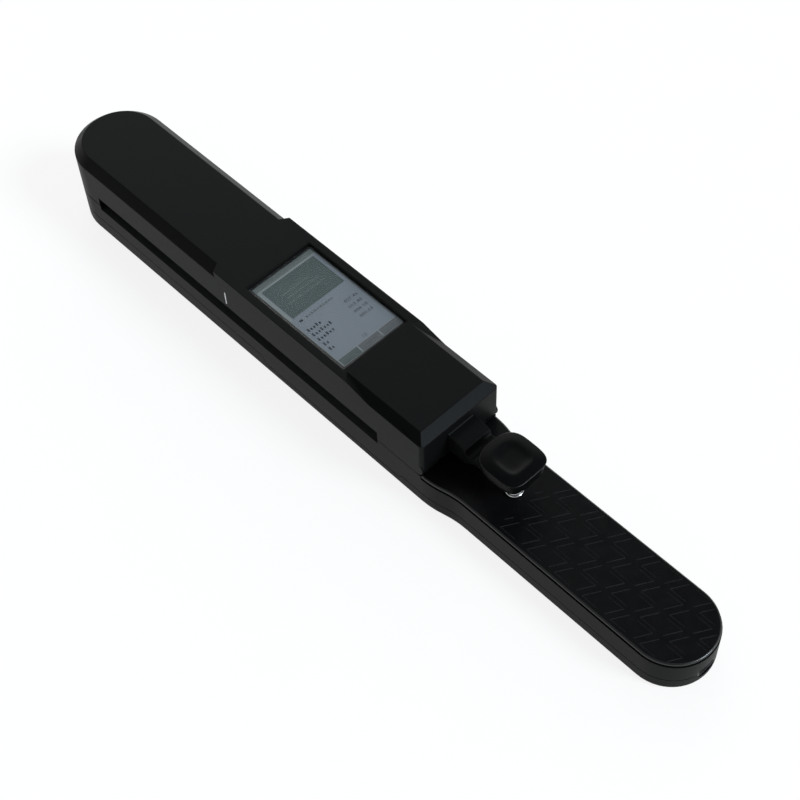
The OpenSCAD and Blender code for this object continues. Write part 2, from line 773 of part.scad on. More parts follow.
// Room for the base's lugs inside the barrel, open below so that the arm can swing
module lug_rooms() {
    for (side = [0, 1]) mirror([side, 0, 0]) {
        x0 = lug_in - pass_gap;
        x1 = lug_in + lug_t + pass_gap;
        bar_x(lug_r + pass_gap, x0, x1, hinge_y, hinge_z);
        block([x0, front_y - 1, base_h], [x1, hinge_y + barrel_r + 1, hinge_z]);
    }
}

module arm_housing() {
    color(black_shell) difference() {
        union() {
            difference() {
                translate([0, 0, arm_z0]) linear_extrude(closed_h - arm_z0) arm_outline();
                arm_slopes();
                arm_hollow();
                block([-jaw_w, slot_y0, 0], [jaw_w, slot_y1, slot_z1]);
                block([-jaw_w, front_y - 1, 0], [jaw_w, hinge_y, hinge_z]);
            }
            bar_x(barrel_r, -jaw_w / 2, jaw_w / 2, hinge_y, hinge_z);
            for (y = tray_screw_y, side = [-1, 1])
                translate([side * tray_screw_x, y, tray_z1])
                    cylinder(r = post_r, h = screw_bite + 2);
        }
        lug_rooms();
        bar_x(pin_d / 2 + pass_gap, -inner_x, jaw_w, hinge_y, hinge_z);
        for (side = [0, 1]) mirror([side, 0, 0]) bar_x(bush_d / 2, bush_x0 - eps, inner_x, hinge_y, hinge_z);
        block([-lever_w / 2 - set_gap, front_y - 1, lever_z0 - set_gap],
            [lever_w / 2 + set_gap, front_y + wall + 1, lever_z1 + set_gap]);
        for (side = [-1, 1])
            bar_y(screw_r, front_y + 1, front_y + wall + 1, side * lever_screw_x, lever_screw_z);
        for (y = tray_screw_y, side = [-1, 1])
            translate([side * tray_screw_x, y, tray_z1 - eps])
                cylinder(r = screw_r + set_gap, h = screw_bite + 1);
        translate([0, bumper_y, bumper_z]) cylinder(d = bumper_d + 2 * set_gap, h = bumper_t);
    }
}

module arm_tray() {
    color(black_shell) difference() {
        block([-inner_x + set_gap, slot_y0 + set_gap, slot_z1],
            [inner_x - set_gap, slot_y1 - set_gap, tray_z1]);
        window_block(slot_z1 - 1, tray_z1 + 1);
        for (y = tray_screw_y, side = [-1, 1])
            translate([side * tray_screw_x, y, slot_z1 - eps]) {
                cylinder(r = screw_head_r + set_gap, h = screw_head_h + eps);
                cylinder(r = screw_r + set_gap, h = 2 * window_t);
            }
    }
}

module tray_screws() {
    color(steel) for (y = tray_screw_y, side = [-1, 1])
        translate([side * tray_screw_x, y, 0])
            screw_up(slot_z1, tray_z1 - slot_z1 - screw_head_h + screw_bite);
}

module sensor_bar() {
    color(dark_cavity) block([optic_x - sensor_w / 2, optic_y0 - optic_over, tray_z1],
        [optic_x + sensor_w / 2, optic_y0 + optic_len + optic_over, board_z0]);
}

module sensor_window() {
    color(glass_grey) window_block(slot_z1, tray_z1, -set_gap);
}

module main_board() {
    half = inner_x - 2 * post_r;
    color(board_green) block([-half, screen_y0 - board_front, board_z0],
        [half, screen_y0 + screen_len + board_back, board_z1]);
}

// Block over the screen opening between two heights, drawn out by d
module screen_block(z0, z1, d = 0) {
    block([-screen_w / 2 - d, screen_y0 - d, z0], [screen_w / 2 + d, screen_y0 + screen_len + d, z1]);
}

module display_module() {
    d = glass_border - set_gap;
    color(glass_grey) screen_block(board_z1, display_z1, d);
}

module screen_glass() {
    d = glass_border - set_gap;
    color(glass_grey) screen_block(display_z1, glass_z1, d);
}

module screen_gasket() {
    d = glass_border - set_gap;
    color(black_rubber) difference() {
        screen_block(glass_z1, gasket_z1, d);
        screen_block(glass_z1 - 1, gasket_z1 + 1);
    }
}

module hinge_bushes() {
    color(steel) for (side = [0, 1]) mirror([side, 0, 0]) difference() {
        bar_x(bush_d / 2 - set_gap / 5, bush_x0, bush_x1, hinge_y, hinge_z);
        bar_x(pin_d / 2 + run_fit, bush_x0 - 1, bush_x1 + 1, hinge_y, hinge_z);
    }
}

// Side view of the lever, y along the wand and z up: a thick root whose top falls in a curve to a crisp end,
// then a groove, and a thin arm under the pad
module lever_side() {
    steps = 8;
    crest_y = front_y - lever_out;
    curve_len = 0.65 * lever_out;
    lip = 0.6;
    floor_len = 3.5;
    ramp = 2.5;
    root_z = lever_z0 - 2.3;
    groove_z = pad_z0 - lever_groove;
    polygon(concat(
        [[front_y + wall, lever_z0], [front_y + wall, lever_z1]],
        [for (i = [0:steps])
            [crest_y + curve_len * (1 - i / steps), lever_z1 - lever_fall * pow(i / steps, 2)]],
        [[crest_y - lip, groove_z], [crest_y - floor_len, groove_z], [crest_y - floor_len - ramp, pad_z0],
            [spring_y, pad_z0], [spring_y, pad_z0 - lever_t], [crest_y - floor_len - ramp, pad_z0 - lever_t],
            [crest_y, root_z], [front_y - set_gap, root_z], [front_y - set_gap, lever_z0]]));
}

module thumb_lever() {
    half = lever_w / 2;
    flange_y = front_y + wall;
    color(black_shell) difference() {
        union() {
            rotate([90, 0, 90]) linear_extrude(lever_w, center = true) lever_side();
            translate([0, spring_y, pad_z0 - lever_t]) cylinder(r = half, h = lever_t);
            block([-half - flange_out, flange_y, lever_z0],
                [half + flange_out, flange_y + flange_t, lever_z0 + flange_h]);
        }
        translate([0, spring_y, pad_z0 - lever_t - 1]) cylinder(d = spring_d + 2.4, h = lever_t + 2);
        for (side = [-1, 1])
            bar_y(screw_r + set_gap, flange_y - 1, flange_y + flange_t + 1, side * lever_screw_x,
                lever_screw_z);
    }
}

module lever_screws() {
    y0 = front_y + wall + flange_t;
    color(steel) for (side = [-1, 1]) {
        bar_y(screw_r - set_gap / 5, front_y + 1.2, y0 + screw_head_h, side * lever_screw_x, lever_screw_z);
        bar_y(screw_head_r, y0, y0 + screw_head_h, side * lever_screw_x, lever_screw_z);
    }
}

// Rounded square layer of the thumb pad, drawn in by d at height z
module pad_layer(d, z) {
    x = pad_w / 2 - pad_r;
    y = pad_len / 2 - pad_r;
    for (sx = [-1, 1], sy = [-1, 1])
        translate([sx * x, pad_y + sy * y, z]) cylinder(r = max(pad_r - d, 0.5), h = eps, $fn = 32);
}

module thumb_pad() {
    rim = 1.2;
    taper = 1.4;
    dish_in = 3;
    color(black_rubber) difference() {
        hull() {
            pad_layer(taper + rim, pad_z0);
            pad_layer(taper, pad_z0 + rim);
            pad_layer(0, pad_z0 + pad_h - 2 * rim);
            pad_layer(rim * 0.3, pad_z0 + pad_h - rim * 0.6);
            pad_layer(rim, pad_z0 + pad_h - eps);
        }
        hull() {
            pad_layer(dish_in, pad_z0 + pad_h);
            pad_layer(dish_in + 1.5, pad_z0 + pad_h - dish_d * 0.7);
            pad_layer(dish_in + 3, pad_z0 + pad_h - dish_d);
        }
    }
}

module nose_bumper() {
    color(black_rubber) translate([0, bumper_y, bumper_z]) cylinder(d = bumper_d, h = bumper_t);
}

module measuring_roller() {
    color(black_rubber) difference() {
        bar_y(roller_r, roller_y0, roller_y1, roller_x, roller_z);
        bar_y(shaft_d / 2 + run_fit, roller_y0 - 1, roller_y1 + 1, roller_x, roller_z);
    }
}

module roller_shaft() {
    shaft_y0 = roller_y0 - bearing_gap - bearing_t;
    color(steel) bar_y(shaft_d / 2, shaft_y0, disc_y0 + disc_t + 1, roller_x, roller_z);
}

module encoder_disc() {
    color(glass_grey) difference() {
        bar_y(disc_d / 2, disc_y0, disc_y0 + disc_t, roller_x, roller_z);
        bar_y(shaft_d / 2 + run_fit, disc_y0 - 1, disc_y0 + disc_t + 1, roller_x, roller_z);
    }
}

base_shell();
lower_cover();
grip_plate();
battery_pack();
charge_board();
charge_socket();
port_frame();
cover_screws();
hinge_pin();
spring_stud();
return_spring();
light_channel();
lamp_board();
light_window();
roller_bearings();
encoder_sensor();
arm_housing();
arm_tray();
tray_screws();
sensor_bar();
sensor_window();
main_board();
display_module();
screen_glass();
screen_gasket();
hinge_bushes();
thumb_lever();
lever_screws();
thumb_pad();
nose_bumper();
measuring_roller();
roller_shaft();
encoder_disc();
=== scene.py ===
# %% [markdown]
# # A hand-held leaf area meter
# The meter is a black wand: a grip, a lower jaw and a hinged upper jaw with a screen on it. A leaf is
# drawn through the slot between the jaws, and the thumb pad opens them. The CAD model gives every piece
# its place and size, so this lesson loads it as a fixed frame and only adds what a CAD model lacks: soft
# edges, fine engraving, the picture on the screen and the finishes.

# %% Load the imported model
import json
import math

import bmesh
import bpy
from mathutils import Matrix, Vector


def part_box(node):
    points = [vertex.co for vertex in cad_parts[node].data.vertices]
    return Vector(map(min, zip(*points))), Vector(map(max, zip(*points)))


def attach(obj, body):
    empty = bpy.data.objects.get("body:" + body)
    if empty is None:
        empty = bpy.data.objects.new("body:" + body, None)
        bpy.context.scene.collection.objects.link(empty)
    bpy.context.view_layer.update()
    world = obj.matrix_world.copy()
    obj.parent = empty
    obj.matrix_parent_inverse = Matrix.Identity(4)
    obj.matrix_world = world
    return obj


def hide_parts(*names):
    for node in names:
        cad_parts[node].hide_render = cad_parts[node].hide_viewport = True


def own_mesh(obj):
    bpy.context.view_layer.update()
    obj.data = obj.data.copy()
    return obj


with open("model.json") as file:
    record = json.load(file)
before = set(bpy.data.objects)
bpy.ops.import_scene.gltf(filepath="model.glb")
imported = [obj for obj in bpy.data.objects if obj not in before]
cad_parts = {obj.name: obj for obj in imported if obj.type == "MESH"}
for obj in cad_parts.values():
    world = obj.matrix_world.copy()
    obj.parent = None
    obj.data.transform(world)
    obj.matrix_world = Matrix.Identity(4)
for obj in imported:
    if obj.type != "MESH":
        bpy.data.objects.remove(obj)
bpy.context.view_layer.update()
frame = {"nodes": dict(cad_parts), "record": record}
nodes = frame["nodes"]
MM = 0.001

# %% [markdown]
# ## Camera
# The photograph looks down on the wand from the grip's left. The lens and the place come from matching
# the wand's corners, so the camera is written as a point, a line of sight and an up direction. A rotation
# matrix from three directions is easier to check than three angles.

# %% Camera
eye = Vector((-284.53, -343.39, 607.75)) * MM
sight = Vector((0.38985, 0.44324, -0.80719)).normalized()
up = Vector((0.57304, 0.56938, 0.58943)).normalized()
camera_data = bpy.data.cameras.new("camera")
camera_data.sensor_width = 36
camera_data.lens = 72.94
camera_data.clip_end = 500
camera = bpy.data.objects.new("camera", camera_data)
turn = Matrix((sight.cross(up), up, -sight)).transposed().to_4x4()
camera.matrix_world = Matrix.Translation(eye) @ turn
bpy.context.scene.collection.objects.link(camera)
bpy.context.scene.camera = camera
bpy.context.scene.view_settings.view_transform = "Standard"
print("camera at", [round(v, 3) for v in camera.location])

# %% [markdown]
# ## Lamps
# Black plastic shows little colour of its own: what the eye sees on it are reflections. Two lamps draw
# some of them. A weak one behind the wand on the right makes tops that tilt to the back brighter than the
# rest, and a cool one on the front right draws the slope over the front face. Suns with a wide disc light
# the whole floor evenly, which area lamps near the object would not do.

# %% Lamps
def soft_sun(name, towards, angle, level):
    """A sun with a wide disc. Level is what a white card lying on the floor gets from it."""
    data = bpy.data.lights.new(name, "SUN")
    direction = Vector(towards).normalized()
    data.energy = level * math.pi / direction.z
    data.angle = math.radians(angle)
    lamp = bpy.data.objects.new(name, data)
    lamp.rotation_euler = direction.to_track_quat("Z", "Y").to_euler()
    bpy.context.scene.collection.objects.link(lamp)
    return lamp


back_light = soft_sun("back_light", (0.45, 0.70, 0.55), angle=40, level=0.09)
front_light = soft_sun("front_light", (0.28, -0.74, 0.61), angle=20, level=0.58)
front_light.data.color = (0.80, 0.91, 1.0)
print("lamps:", back_light.name, front_light.name)

# %% [markdown]
# ## Sky
# Most of the light is a sky that is white near the floor and greyer above, as in a light tent. A colour
# ramp on the height of a direction gives that. Soft patches are added to it, each round one direction. A
# wide glow behind the wand lifts the tops, and a low and strong one on the right draws the far slopes of
# the arm. Two dark patches, where a tent is open for the camera and on the left, keep the spring's wire
# and the near slopes dark.

# %% Sky
def set_ramp(ramp, *stops):
    """Gives a colour ramp its two stops, each a position and a colour."""
    for element, (position, colour) in zip(ramp.color_ramp.elements, stops):
        element.position = position
        element.color = (*colour, 1)


world = bpy.data.worlds.new("sky")
world.use_nodes = True
bpy.context.scene.world = world
sky = world.node_tree
heading = sky.nodes.new("ShaderNodeTexCoord")
height = sky.nodes.new("ShaderNodeSeparateXYZ")
haze = sky.nodes.new("ShaderNodeValToRGB")
set_ramp(haze, (0.08, (1.0, 1.0, 1.0)), (0.70, (0.34, 0.36, 0.36)))
sky.links.new(heading.outputs["Generated"], height.inputs[0])
sky.links.new(height.outputs["Z"], haze.inputs[0])
print("sky ramp stops:", len(haze.color_ramp.elements))

# %% Patches in the sky
def add_patch(below, towards, spread, level):
    """Adds a soft patch to a sky colour, spread degrees round a direction. Below 0 its level is dark."""
    facing = sky.nodes.new("ShaderNodeVectorMath")
    facing.operation = "DOT_PRODUCT"
    facing.inputs[1].default_value = Vector(towards).normalized()
    patch = sky.nodes.new("ShaderNodeMapRange")
    patch.interpolation_type = "SMOOTHSTEP"
    patch.inputs["From Min"].default_value = math.cos(math.radians(spread))
    patch.inputs["To Max"].default_value = level
    total = sky.nodes.new("ShaderNodeVectorMath")
    sky.links.new(heading.outputs["Generated"], facing.inputs[0])
    sky.links.new(facing.outputs["Value"], patch.inputs["Value"])
    sky.links.new(below, total.inputs[0])
    sky.links.new(patch.outputs["Result"], total.inputs[1])
    return total.outputs["Vector"]


patches = {
    "glow_behind": ((0.30, 0.80, 0.50), 41, 0.25),
    "low_glow_on_the_right": ((0.80, 0.50, 0.06), 36, 2.2),
    "opening_for_the_camera": ((-0.52, -0.58, 0.63), 36, -0.34),
    "dark_on_the_left": ((-0.80, 0.44, 0.50), 28, -0.38),
}
sky_colour = haze.outputs[0]
for towards, spread, level in patches.values():
    sky_colour = add_patch(sky_colour, towards, spread, level)
sky.links.new(sky_colour, sky.nodes["Background"].inputs["Color"])
print("patches:", ", ".join(patches))

# %% [markdown]
# ## Finishes
# Each finish is a small node tree. One noise on Object coordinates varies the colour and the gloss
# together, and a finer one gives the relief that the mould leaves. Helpers keep each tree to a few lines.
# Values that are the same all over stay on the shader's own sockets.

# %% Coordinates and noise
def new_finish(name, **sockets):
    """A material with its shader and its Object coordinates, ready for more nodes."""
    material = bpy.data.materials.new(name)
    material.use_nodes = True
    tree = material.node_tree
    shader = tree.nodes["Principled BSDF"]
    for socket, value in sockets.items():
        shader.inputs[socket.replace("_", " ")].default_value = value
    place = tree.nodes.new("ShaderNodeTexCoord").outputs["Object"]
    return material, tree, shader, place


def stretched(tree, place, scale):
    """Object coordinates drawn out along an axis, for a grain that runs one way."""
    mapping = tree.nodes.new("ShaderNodeMapping")
    mapping.inputs["Scale"].default_value = scale
    tree.links.new(place, mapping.inputs["Vector"])
    return mapping.outputs["Vector"]


def speckle(tree, place, size, detail=3.0):
    """Noise whose blotches are about size millimetres across."""
    noise = tree.nodes.new("ShaderNodeTexNoise")
    noise.inputs["Scale"].default_value = 1 / (size * MM)
    noise.inputs["Detail"].default_value = detail
    tree.links.new(place, noise.inputs["Vector"])
    return noise.outputs["Fac"]


# %% [markdown]
# Nearly all values of a noise lie in the middle of its range, so that part is spread over the two tones
# or the two levels of gloss.

# %% Colour, gloss and relief
noise_low, noise_high = 0.3, 0.7


def colour_between(tree, shader, factor, low, high):
    """Base colour that wanders between two tones."""
    ramp = tree.nodes.new("ShaderNodeValToRGB")
    set_ramp(ramp, (noise_low, low), (noise_high, high))
    tree.links.new(factor, ramp.inputs["Fac"])
    tree.links.new(ramp.outputs["Color"], shader.inputs["Base Color"])


def roughness_between(tree, shader, factor, low, high):
    """Roughness that follows a pattern between two levels."""
    levels = tree.nodes.new("ShaderNodeMapRange")
    levels.inputs["From Min"].default_value = noise_low
    levels.inputs["From Max"].default_value = noise_high
    levels.inputs["To Min"].default_value = low
    levels.inputs["To Max"].default_value = high
    tree.links.new(factor, levels.inputs["Value"])
    tree.links.new(levels.outputs["Result"], shader.inputs["Roughness"])


def relief(tree, shader, height, depth):
    """Fine relief, depth in millimetres."""
    bump = tree.nodes.new("ShaderNodeBump")
    bump.inputs["Distance"].default_value = depth * MM
    bump.inputs["Strength"].default_value = 1.0
    tree.links.new(height, bump.inputs["Height"])
    tree.links.new(bump.outputs["Normal"], shader.inputs["Normal"])


def speckled(name, low, high, tone_size, rough, grain_size, grain_depth, scale=(1, 1, 1), **sockets):
    """The usual finish: two close tones, a little change in gloss and a fine grain."""
    material, tree, shader, place = new_finish(name, **sockets)
    place = stretched(tree, place, scale)
    tone = speckle(tree, place, tone_size)
    grain = speckle(tree, place, grain_size, detail=2.0)
    colour_between(tree, shader, tone, low, high)
    roughness_between(tree, shader, tone, *rough)
    relief(tree, shader, grain, grain_depth)
    return material


# %% [markdown]
# ## Floor
# The floor is white paper. Most of what the camera and a reflection see of it is plain white, and the
# rest is lit by the lamps, so a faint shadow of the wand stays. Seen from below the paper is clear, so
# that the underside of the wand can be looked at.

# %% Paper
white_share = 0.85
paper_blotch = 40
paper, tree, shader, place = new_finish("studio_paper", Roughness=0.9, Specular_IOR_Level=0.0)
colour_between(tree, shader, speckle(tree, place, paper_blotch), (0.93, 0.93, 0.93), (0.95, 0.95, 0.95))
path = tree.nodes.new("ShaderNodeLightPath")
seen = tree.nodes.new("ShaderNodeMath")
mirrored = tree.nodes.new("ShaderNodeMath")
whitened = tree.nodes.new("ShaderNodeMath")
whitened.operation = "MULTIPLY"
whitened.inputs[1].default_value = white_share
white = tree.nodes.new("ShaderNodeEmission")
upper_side = tree.nodes.new("ShaderNodeMixShader")
which_side = tree.nodes.new("ShaderNodeNewGeometry")
clear = tree.nodes.new("ShaderNodeBsdfTransparent")
sheet = tree.nodes.new("ShaderNodeMixShader")
wires = [
    (path.outputs["Is Camera Ray"], seen.inputs[0]),
    (path.outputs["Is Glossy Ray"], seen.inputs[1]),
    (seen.outputs[0], mirrored.inputs[0]),
    (path.outputs["Is Transmission Ray"], mirrored.inputs[1]),
    (mirrored.outputs[0], whitened.inputs[0]),
    (whitened.outputs[0], upper_side.inputs["Fac"]),
    (shader.outputs["BSDF"], upper_side.inputs[1]),
    (white.outputs["Emission"], upper_side.inputs[2]),
    (which_side.outputs["Backfacing"], sheet.inputs["Fac"]),
    (upper_side.outputs["Shader"], sheet.inputs[1]),
    (clear.outputs["BSDF"], sheet.inputs[2]),
    (sheet.outputs["Shader"], tree.nodes["Material Output"].inputs["Surface"]),
]
for source, target in wires:
    tree.links.new(source, target)
print("share of the paper that is plain white:", white_share)

# %% [markdown]
# Everything here is drawn in millimetres, in the place where it belongs, and scaled to metres once at the
# end. Its object stays at the origin, as the CAD nodes do.

# %% Floor
def to_object(name, bm, finish):
    """An object from a bmesh in millimetres, with one finish."""
    bmesh.ops.scale(bm, vec=(MM,) * 3, verts=bm.verts)
    mesh = bpy.data.meshes.new(name)
    bm.to_mesh(mesh)
    bm.free()
    mesh.materials.append(finish)
    made = bpy.data.objects.new(name, mesh)
    bpy.context.scene.collection.objects.link(made)
    return made


floor_half = 150
bm = bmesh.new()
bmesh.ops.create_grid(bm, x_segments=2, y_segments=2, size=floor_half / MM)
floor = to_object("floor", bm, paper)
print("floor reaches", floor_half, "m each way")

# %% [markdown]
# ## Finishes of the CAD nodes
# The wand is injection moulded in black plastic. Its tool was spark eroded, which leaves an even, fine,
# matte skin. The grip plate and the pad are separate mouldings: one polished, one of soft rubber. Sizes
# and depths are in millimetres.

# %% Finishes of the mouldings
rubber_tones = ((0.0016, 0.0017, 0.0018), (0.0020, 0.0021, 0.0023))
finishes = {
    "matte_shell": speckled("matte_black_moulding", (0.0034, 0.0037, 0.0037), (0.0042, 0.0045, 0.0045),
                            tone_size=0.7, rough=(0.40, 0.46), grain_size=0.22, grain_depth=0.006,
                            Specular_IOR_Level=0.045),
    "gloss_grip": speckled("polished_black_moulding", (0.0022, 0.0022, 0.0025), (0.0030, 0.0030, 0.0033),
                           tone_size=5, rough=(0.30, 0.36), grain_size=0.6, grain_depth=0.002,
                           Specular_IOR_Level=0.075),
    "dark_moulding": speckled("dark_inner_moulding", (0.010, 0.010, 0.011), (0.016, 0.016, 0.017),
                              tone_size=4, rough=(0.50, 0.58), grain_size=0.30, grain_depth=0.010),
    "black_rubber": speckled("soft_black_rubber", *rubber_tones,
                             tone_size=1.5, rough=(0.38, 0.44), grain_size=0.16, grain_depth=0.006,
                             Specular_IOR_Level=0.040),
    "white_acrylic": speckled("opal_acrylic", (0.74, 0.75, 0.74), (0.80, 0.81, 0.80),
                              tone_size=5, rough=(0.26, 0.34), grain_size=0.50, grain_depth=0.004),
    "smoked_window": speckled("smoked_acrylic", (0.012, 0.012, 0.016), (0.018, 0.018, 0.024),
                              tone_size=7, rough=(0.06, 0.10), grain_size=1.50, grain_depth=0.002),
}
print("mouldings:", ", ".join(finishes))

# %% [markdown]
# Metal pieces are drawn, turned or rolled, so their marks run one way. The noise is stretched along the
# axis of each piece to give the fine lines that such tools leave.

# %% Finishes of the metal pieces
metals = {
    "bright_spring": speckled("bright_spring_wire", (0.60, 0.61, 0.62), (0.72, 0.72, 0.73),
                              tone_size=1.2, rough=(0.05, 0.09), grain_size=0.20, grain_depth=0.002,
                              Metallic=1.0),
    "steel_pin": speckled("ground_steel", (0.52, 0.52, 0.53), (0.62, 0.62, 0.63),
                          tone_size=1.5, rough=(0.22, 0.32), grain_size=0.15, grain_depth=0.004,
                          scale=(0.1, 1, 1), Metallic=1.0),
    "steel_screw": speckled("dark_zinc_screw", (0.10, 0.10, 0.11), (0.17, 0.17, 0.18),
                            tone_size=0.8, rough=(0.30, 0.42), grain_size=0.12, grain_depth=0.006,
                            Metallic=1.0),
    "steel_sheet": speckled("tinned_steel_sheet", (0.55, 0.56, 0.57), (0.66, 0.66, 0.67),
                            tone_size=2.0, rough=(0.24, 0.36), grain_size=0.30, grain_depth=0.005,
                            scale=(1, 0.15, 1), Metallic=1.0),
    "light_sheet": speckled("white_lined_sheet", (0.66, 0.67, 0.68), (0.74, 0.75, 0.75),
                            tone_size=6.0, rough=(0.35, 0.45), grain_size=0.40, grain_depth=0.005,
                            scale=(1, 0.15, 1), Metallic=0.4),
    "brass_bush": speckled("oiled_brass", (0.48, 0.33, 0.13), (0.60, 0.43, 0.19),
                           tone_size=1.0, rough=(0.26, 0.36), grain_size=0.15, grain_depth=0.005,
                           scale=(0.2, 1, 1), Metallic=1.0),
}
finishes.update(metals)
print("metals:", ", ".join(metals))

# %% [markdown]
# Inside are circuit boards, a film-wrapped battery and the display. They hardly show, but each has its
# own look: copper paths under green lacquer are a brick pattern, and the film has soft creases along its
# length.

# %% Finishes of the electrical pieces
board, tree, shader, place = new_finish("green_circuit_board", Roughness=0.38)
paths = tree.nodes.new("ShaderNodeTexBrick")
path_look = {
    "Scale": 420,
    "Mortar Size": 0.06,
    "Color1": (0.006, 0.060, 0.026, 1),
    "Color2": (0.008, 0.074, 0.032, 1),
    "Mortar": (0.020, 0.130, 0.060, 1),
}
for socket, value in path_look.items():
    paths.inputs[socket].default_value = value
tree.links.new(place, paths.inputs["Vector"])
tree.links.new(paths.outputs["Color"], shader.inputs["Base Color"])
relief(tree, shader, paths.outputs["Fac"], depth=0.03)
finishes["circuit_board"] = board
finishes["battery_wrap"] = speckled("blue_battery_film", (0.030, 0.070, 0.150), (0.045, 0.095, 0.190),
                                    tone_size=8.0, rough=(0.28, 0.40), grain_size=3.0, grain_depth=0.15,
                                    scale=(1, 0.2, 1))
finishes["display_frame"] = speckled("display_frame_black", (0.012, 0.012, 0.013), (0.018, 0.018, 0.019),
                                     tone_size=5.0, rough=(0.40, 0.50), grain_size=0.30, grain_depth=0.005)
finishes["screen_glass"] = speckled("cover_glass", (0.010, 0.011, 0.012), (0.014, 0.015, 0.016),
                                    tone_size=12.0, rough=(0.05, 0.08), grain_size=3.0, grain_depth=0.0005,
                                    Alpha=0.10, IOR=1.5)
print("finishes in all:", len(finishes))

# %% [markdown]
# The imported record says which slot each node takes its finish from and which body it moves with. A node
# whose CAD shape is right stays as it is and only gets its finish.

# %% Dress the CAD nodes
slot_of = {row["node"]: row["material_slot"] for row in frame["record"]["subparts"]}
body_of = {name: body for body, names in frame["record"]["behaviour"]["bodies"].items() for name in names}
for name, node in nodes.items():
    node.data.materials.clear()
    node.data.materials.append(finishes[slot_of[name]])
print("dressed", len(nodes), "nodes")

# %% [markdown]
# ## Helpers for pieces
# Every piece rides on a body, takes a finish and may stand for a CAD node, which it hides, so one
# function does all of that. The others make a box and a round, and give some faces of a piece a finish
# of their own.

# %% Make a piece
def make_piece(name, bm, body, finish, replaces=(), smooth=None):
    """A finished piece from a bmesh in millimetres. Edges sharper than smooth degrees stay sharp."""
    piece = to_object(name, bm, finish)
    if smooth is not None:
        piece.data.shade_smooth()
        piece.data.set_sharp_from_angle(angle=math.radians(smooth))
    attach(piece, body)
    if replaces:
        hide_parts(*replaces)
    print(name, "faces:", len(piece.data.polygons), "rides on", body)
    return piece


def block(bm, low, high):
    """A box between two corners."""
    low, high = Vector(low), Vector(high)
    made = bmesh.ops.create_cube(bm, size=1)["verts"]
    bmesh.ops.scale(bm, vec=high - low, verts=made)
    bmesh.ops.translate(bm, vec=(low + high) / 2, verts=made)


def round_edges(bm, edges, radius, segments=2):
    """A round of the given radius along edges."""
    bmesh.ops.bevel(bm, geom=edges, offset=radius, offset_type="OFFSET", affect="EDGES", segments=segments,
                    profile=0.5, material=-1, clamp_overlap=False)


def refinish(piece, finish, chosen):
    """Gives the chosen faces of a piece another finish."""
    piece.data.materials.append(finish)
    faces = [face for face in piece.data.polygons if chosen(face)]
    for face in faces:
        face.material_index = len(piece.data.materials) - 1
    print(finish.name, "on", len(faces), "faces of", piece.name)


# %% [markdown]
# ## The shells
# A mould has no perfectly sharp edge, and on black plastic the thin line of light along each edge is most
# of what shows the shape. The CAD shells have true corners, so a merged copy of each gets a small round
# along its outer edges. Weighted normals keep the large faces flat and let the rounds shade smoothly.

# %% Copies with soft edges
weld = 0.004
coplanar = 0.4
shell_smooth = 40
shell_weight = 90


def merged_copy(node):
    """The mesh of a CAD node in millimetres, with its loose triangles joined."""
    bm = bmesh.new()
    bm.from_mesh(nodes[node].data)
    bmesh.ops.scale(bm, vec=(1 / MM,) * 3, verts=bm.verts)
    bmesh.ops.remove_doubles(bm, verts=bm.verts, dist=weld)
    return bm


def convex_edges(bm, crisp, chosen):
    """Convex edges, sharper than crisp degrees, whose middle is chosen."""
    picked = []
    for edge in bm.edges:
        if len(edge.link_faces) != 2 or edge.calc_face_angle_signed() < math.radians(crisp):
            continue
        if chosen((edge.verts[0].co + edge.verts[1].co) / 2):
            picked.append(edge)
    return picked


def even_normals(piece, weight=50):
    """Lets the large faces lead the shading."""
    weigh = piece.modifiers.new("even_normals", "WEIGHTED_NORMAL")
    weigh.keep_sharp = True
    weigh.weight = weight


def soft_copy(node, name, *rounds):
    """A copy of a CAD node. Each round says its radius, its segments, how crisp its edges are and which."""
    bm = merged_copy(node)
    bmesh.ops.dissolve_limit(bm, angle_limit=math.radians(coplanar), verts=bm.verts, edges=bm.edges)
    for kind in rounds:
        edges = convex_edges(bm, kind["crisp"], kind["chosen"])
        round_edges(bm, edges, kind["radius"], kind["segments"])
    slot = slot_of[node]
    piece = make_piece(name, bm, body_of[node], finishes[slot], (node,), smooth=shell_smooth)
    even_normals(piece, shell_weight)
    return piece


# %% [markdown]
# The base takes its round along the upper edge of the shoulder and the grip. The leaf table in the slot
# lies in the arm's shade. Its faces take a second, satin finish whose lighter colour is painted light that
# lifts that shade.

# %% Base shell
arm_low, arm_high = (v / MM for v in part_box("arm_housing"))
base_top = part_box("base_shell")[1].z / MM
table_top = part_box("light_window")[1].z / MM
same_level = 0.05
level_face = 0.99
under_arm = 2


def on_grip_rim(p):
    """Upper outer edges of the base, from just under the arm to the end of the grip."""
    return p.z > base_top - same_level and p.y < arm_low.y + under_arm


base = soft_copy("base_shell", "base_shell_soft_edges",
                 dict(radius=0.35, segments=3, crisp=25, chosen=on_grip_rim))
# Satin gloss, and a colour lighter than the shell's: painted light on the table in the arm's shade.
table_painted_light = speckled("leaf_table_satin_painted_light", (0.021, 0.022, 0.022), (0.026, 0.027, 0.027),
                       tone_size=2.0, rough=(0.50, 0.58), grain_size=0.15, grain_depth=0.004,
                       Specular_IOR_Level=0.08)
refinish(base, table_painted_light,
         lambda f: f.normal.z > level_face and abs(f.center.z / MM - table_top) < same_level)

# %% [markdown]
# On the arm the screen opening has a wider, flat bevel, and all other outer edges have a fine round. Its
# long slopes come from a smoother part of the mould than its top, so they mirror the sky more. Their
# colour is a much deeper black than the top's, which is painted shade on the near slope.

# %% Arm housing
gasket_lip = 1.3
screen_half = (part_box("screen_gasket")[1].x / MM) - gasket_lip
screen_near, screen_far = arm_low.y + 50, 62
screen_depth = 3
slot_roof = 26
nose_start = 172
wall_depth = 6
near = 1
slope_lean, slope_rise = 0.4, 0.25


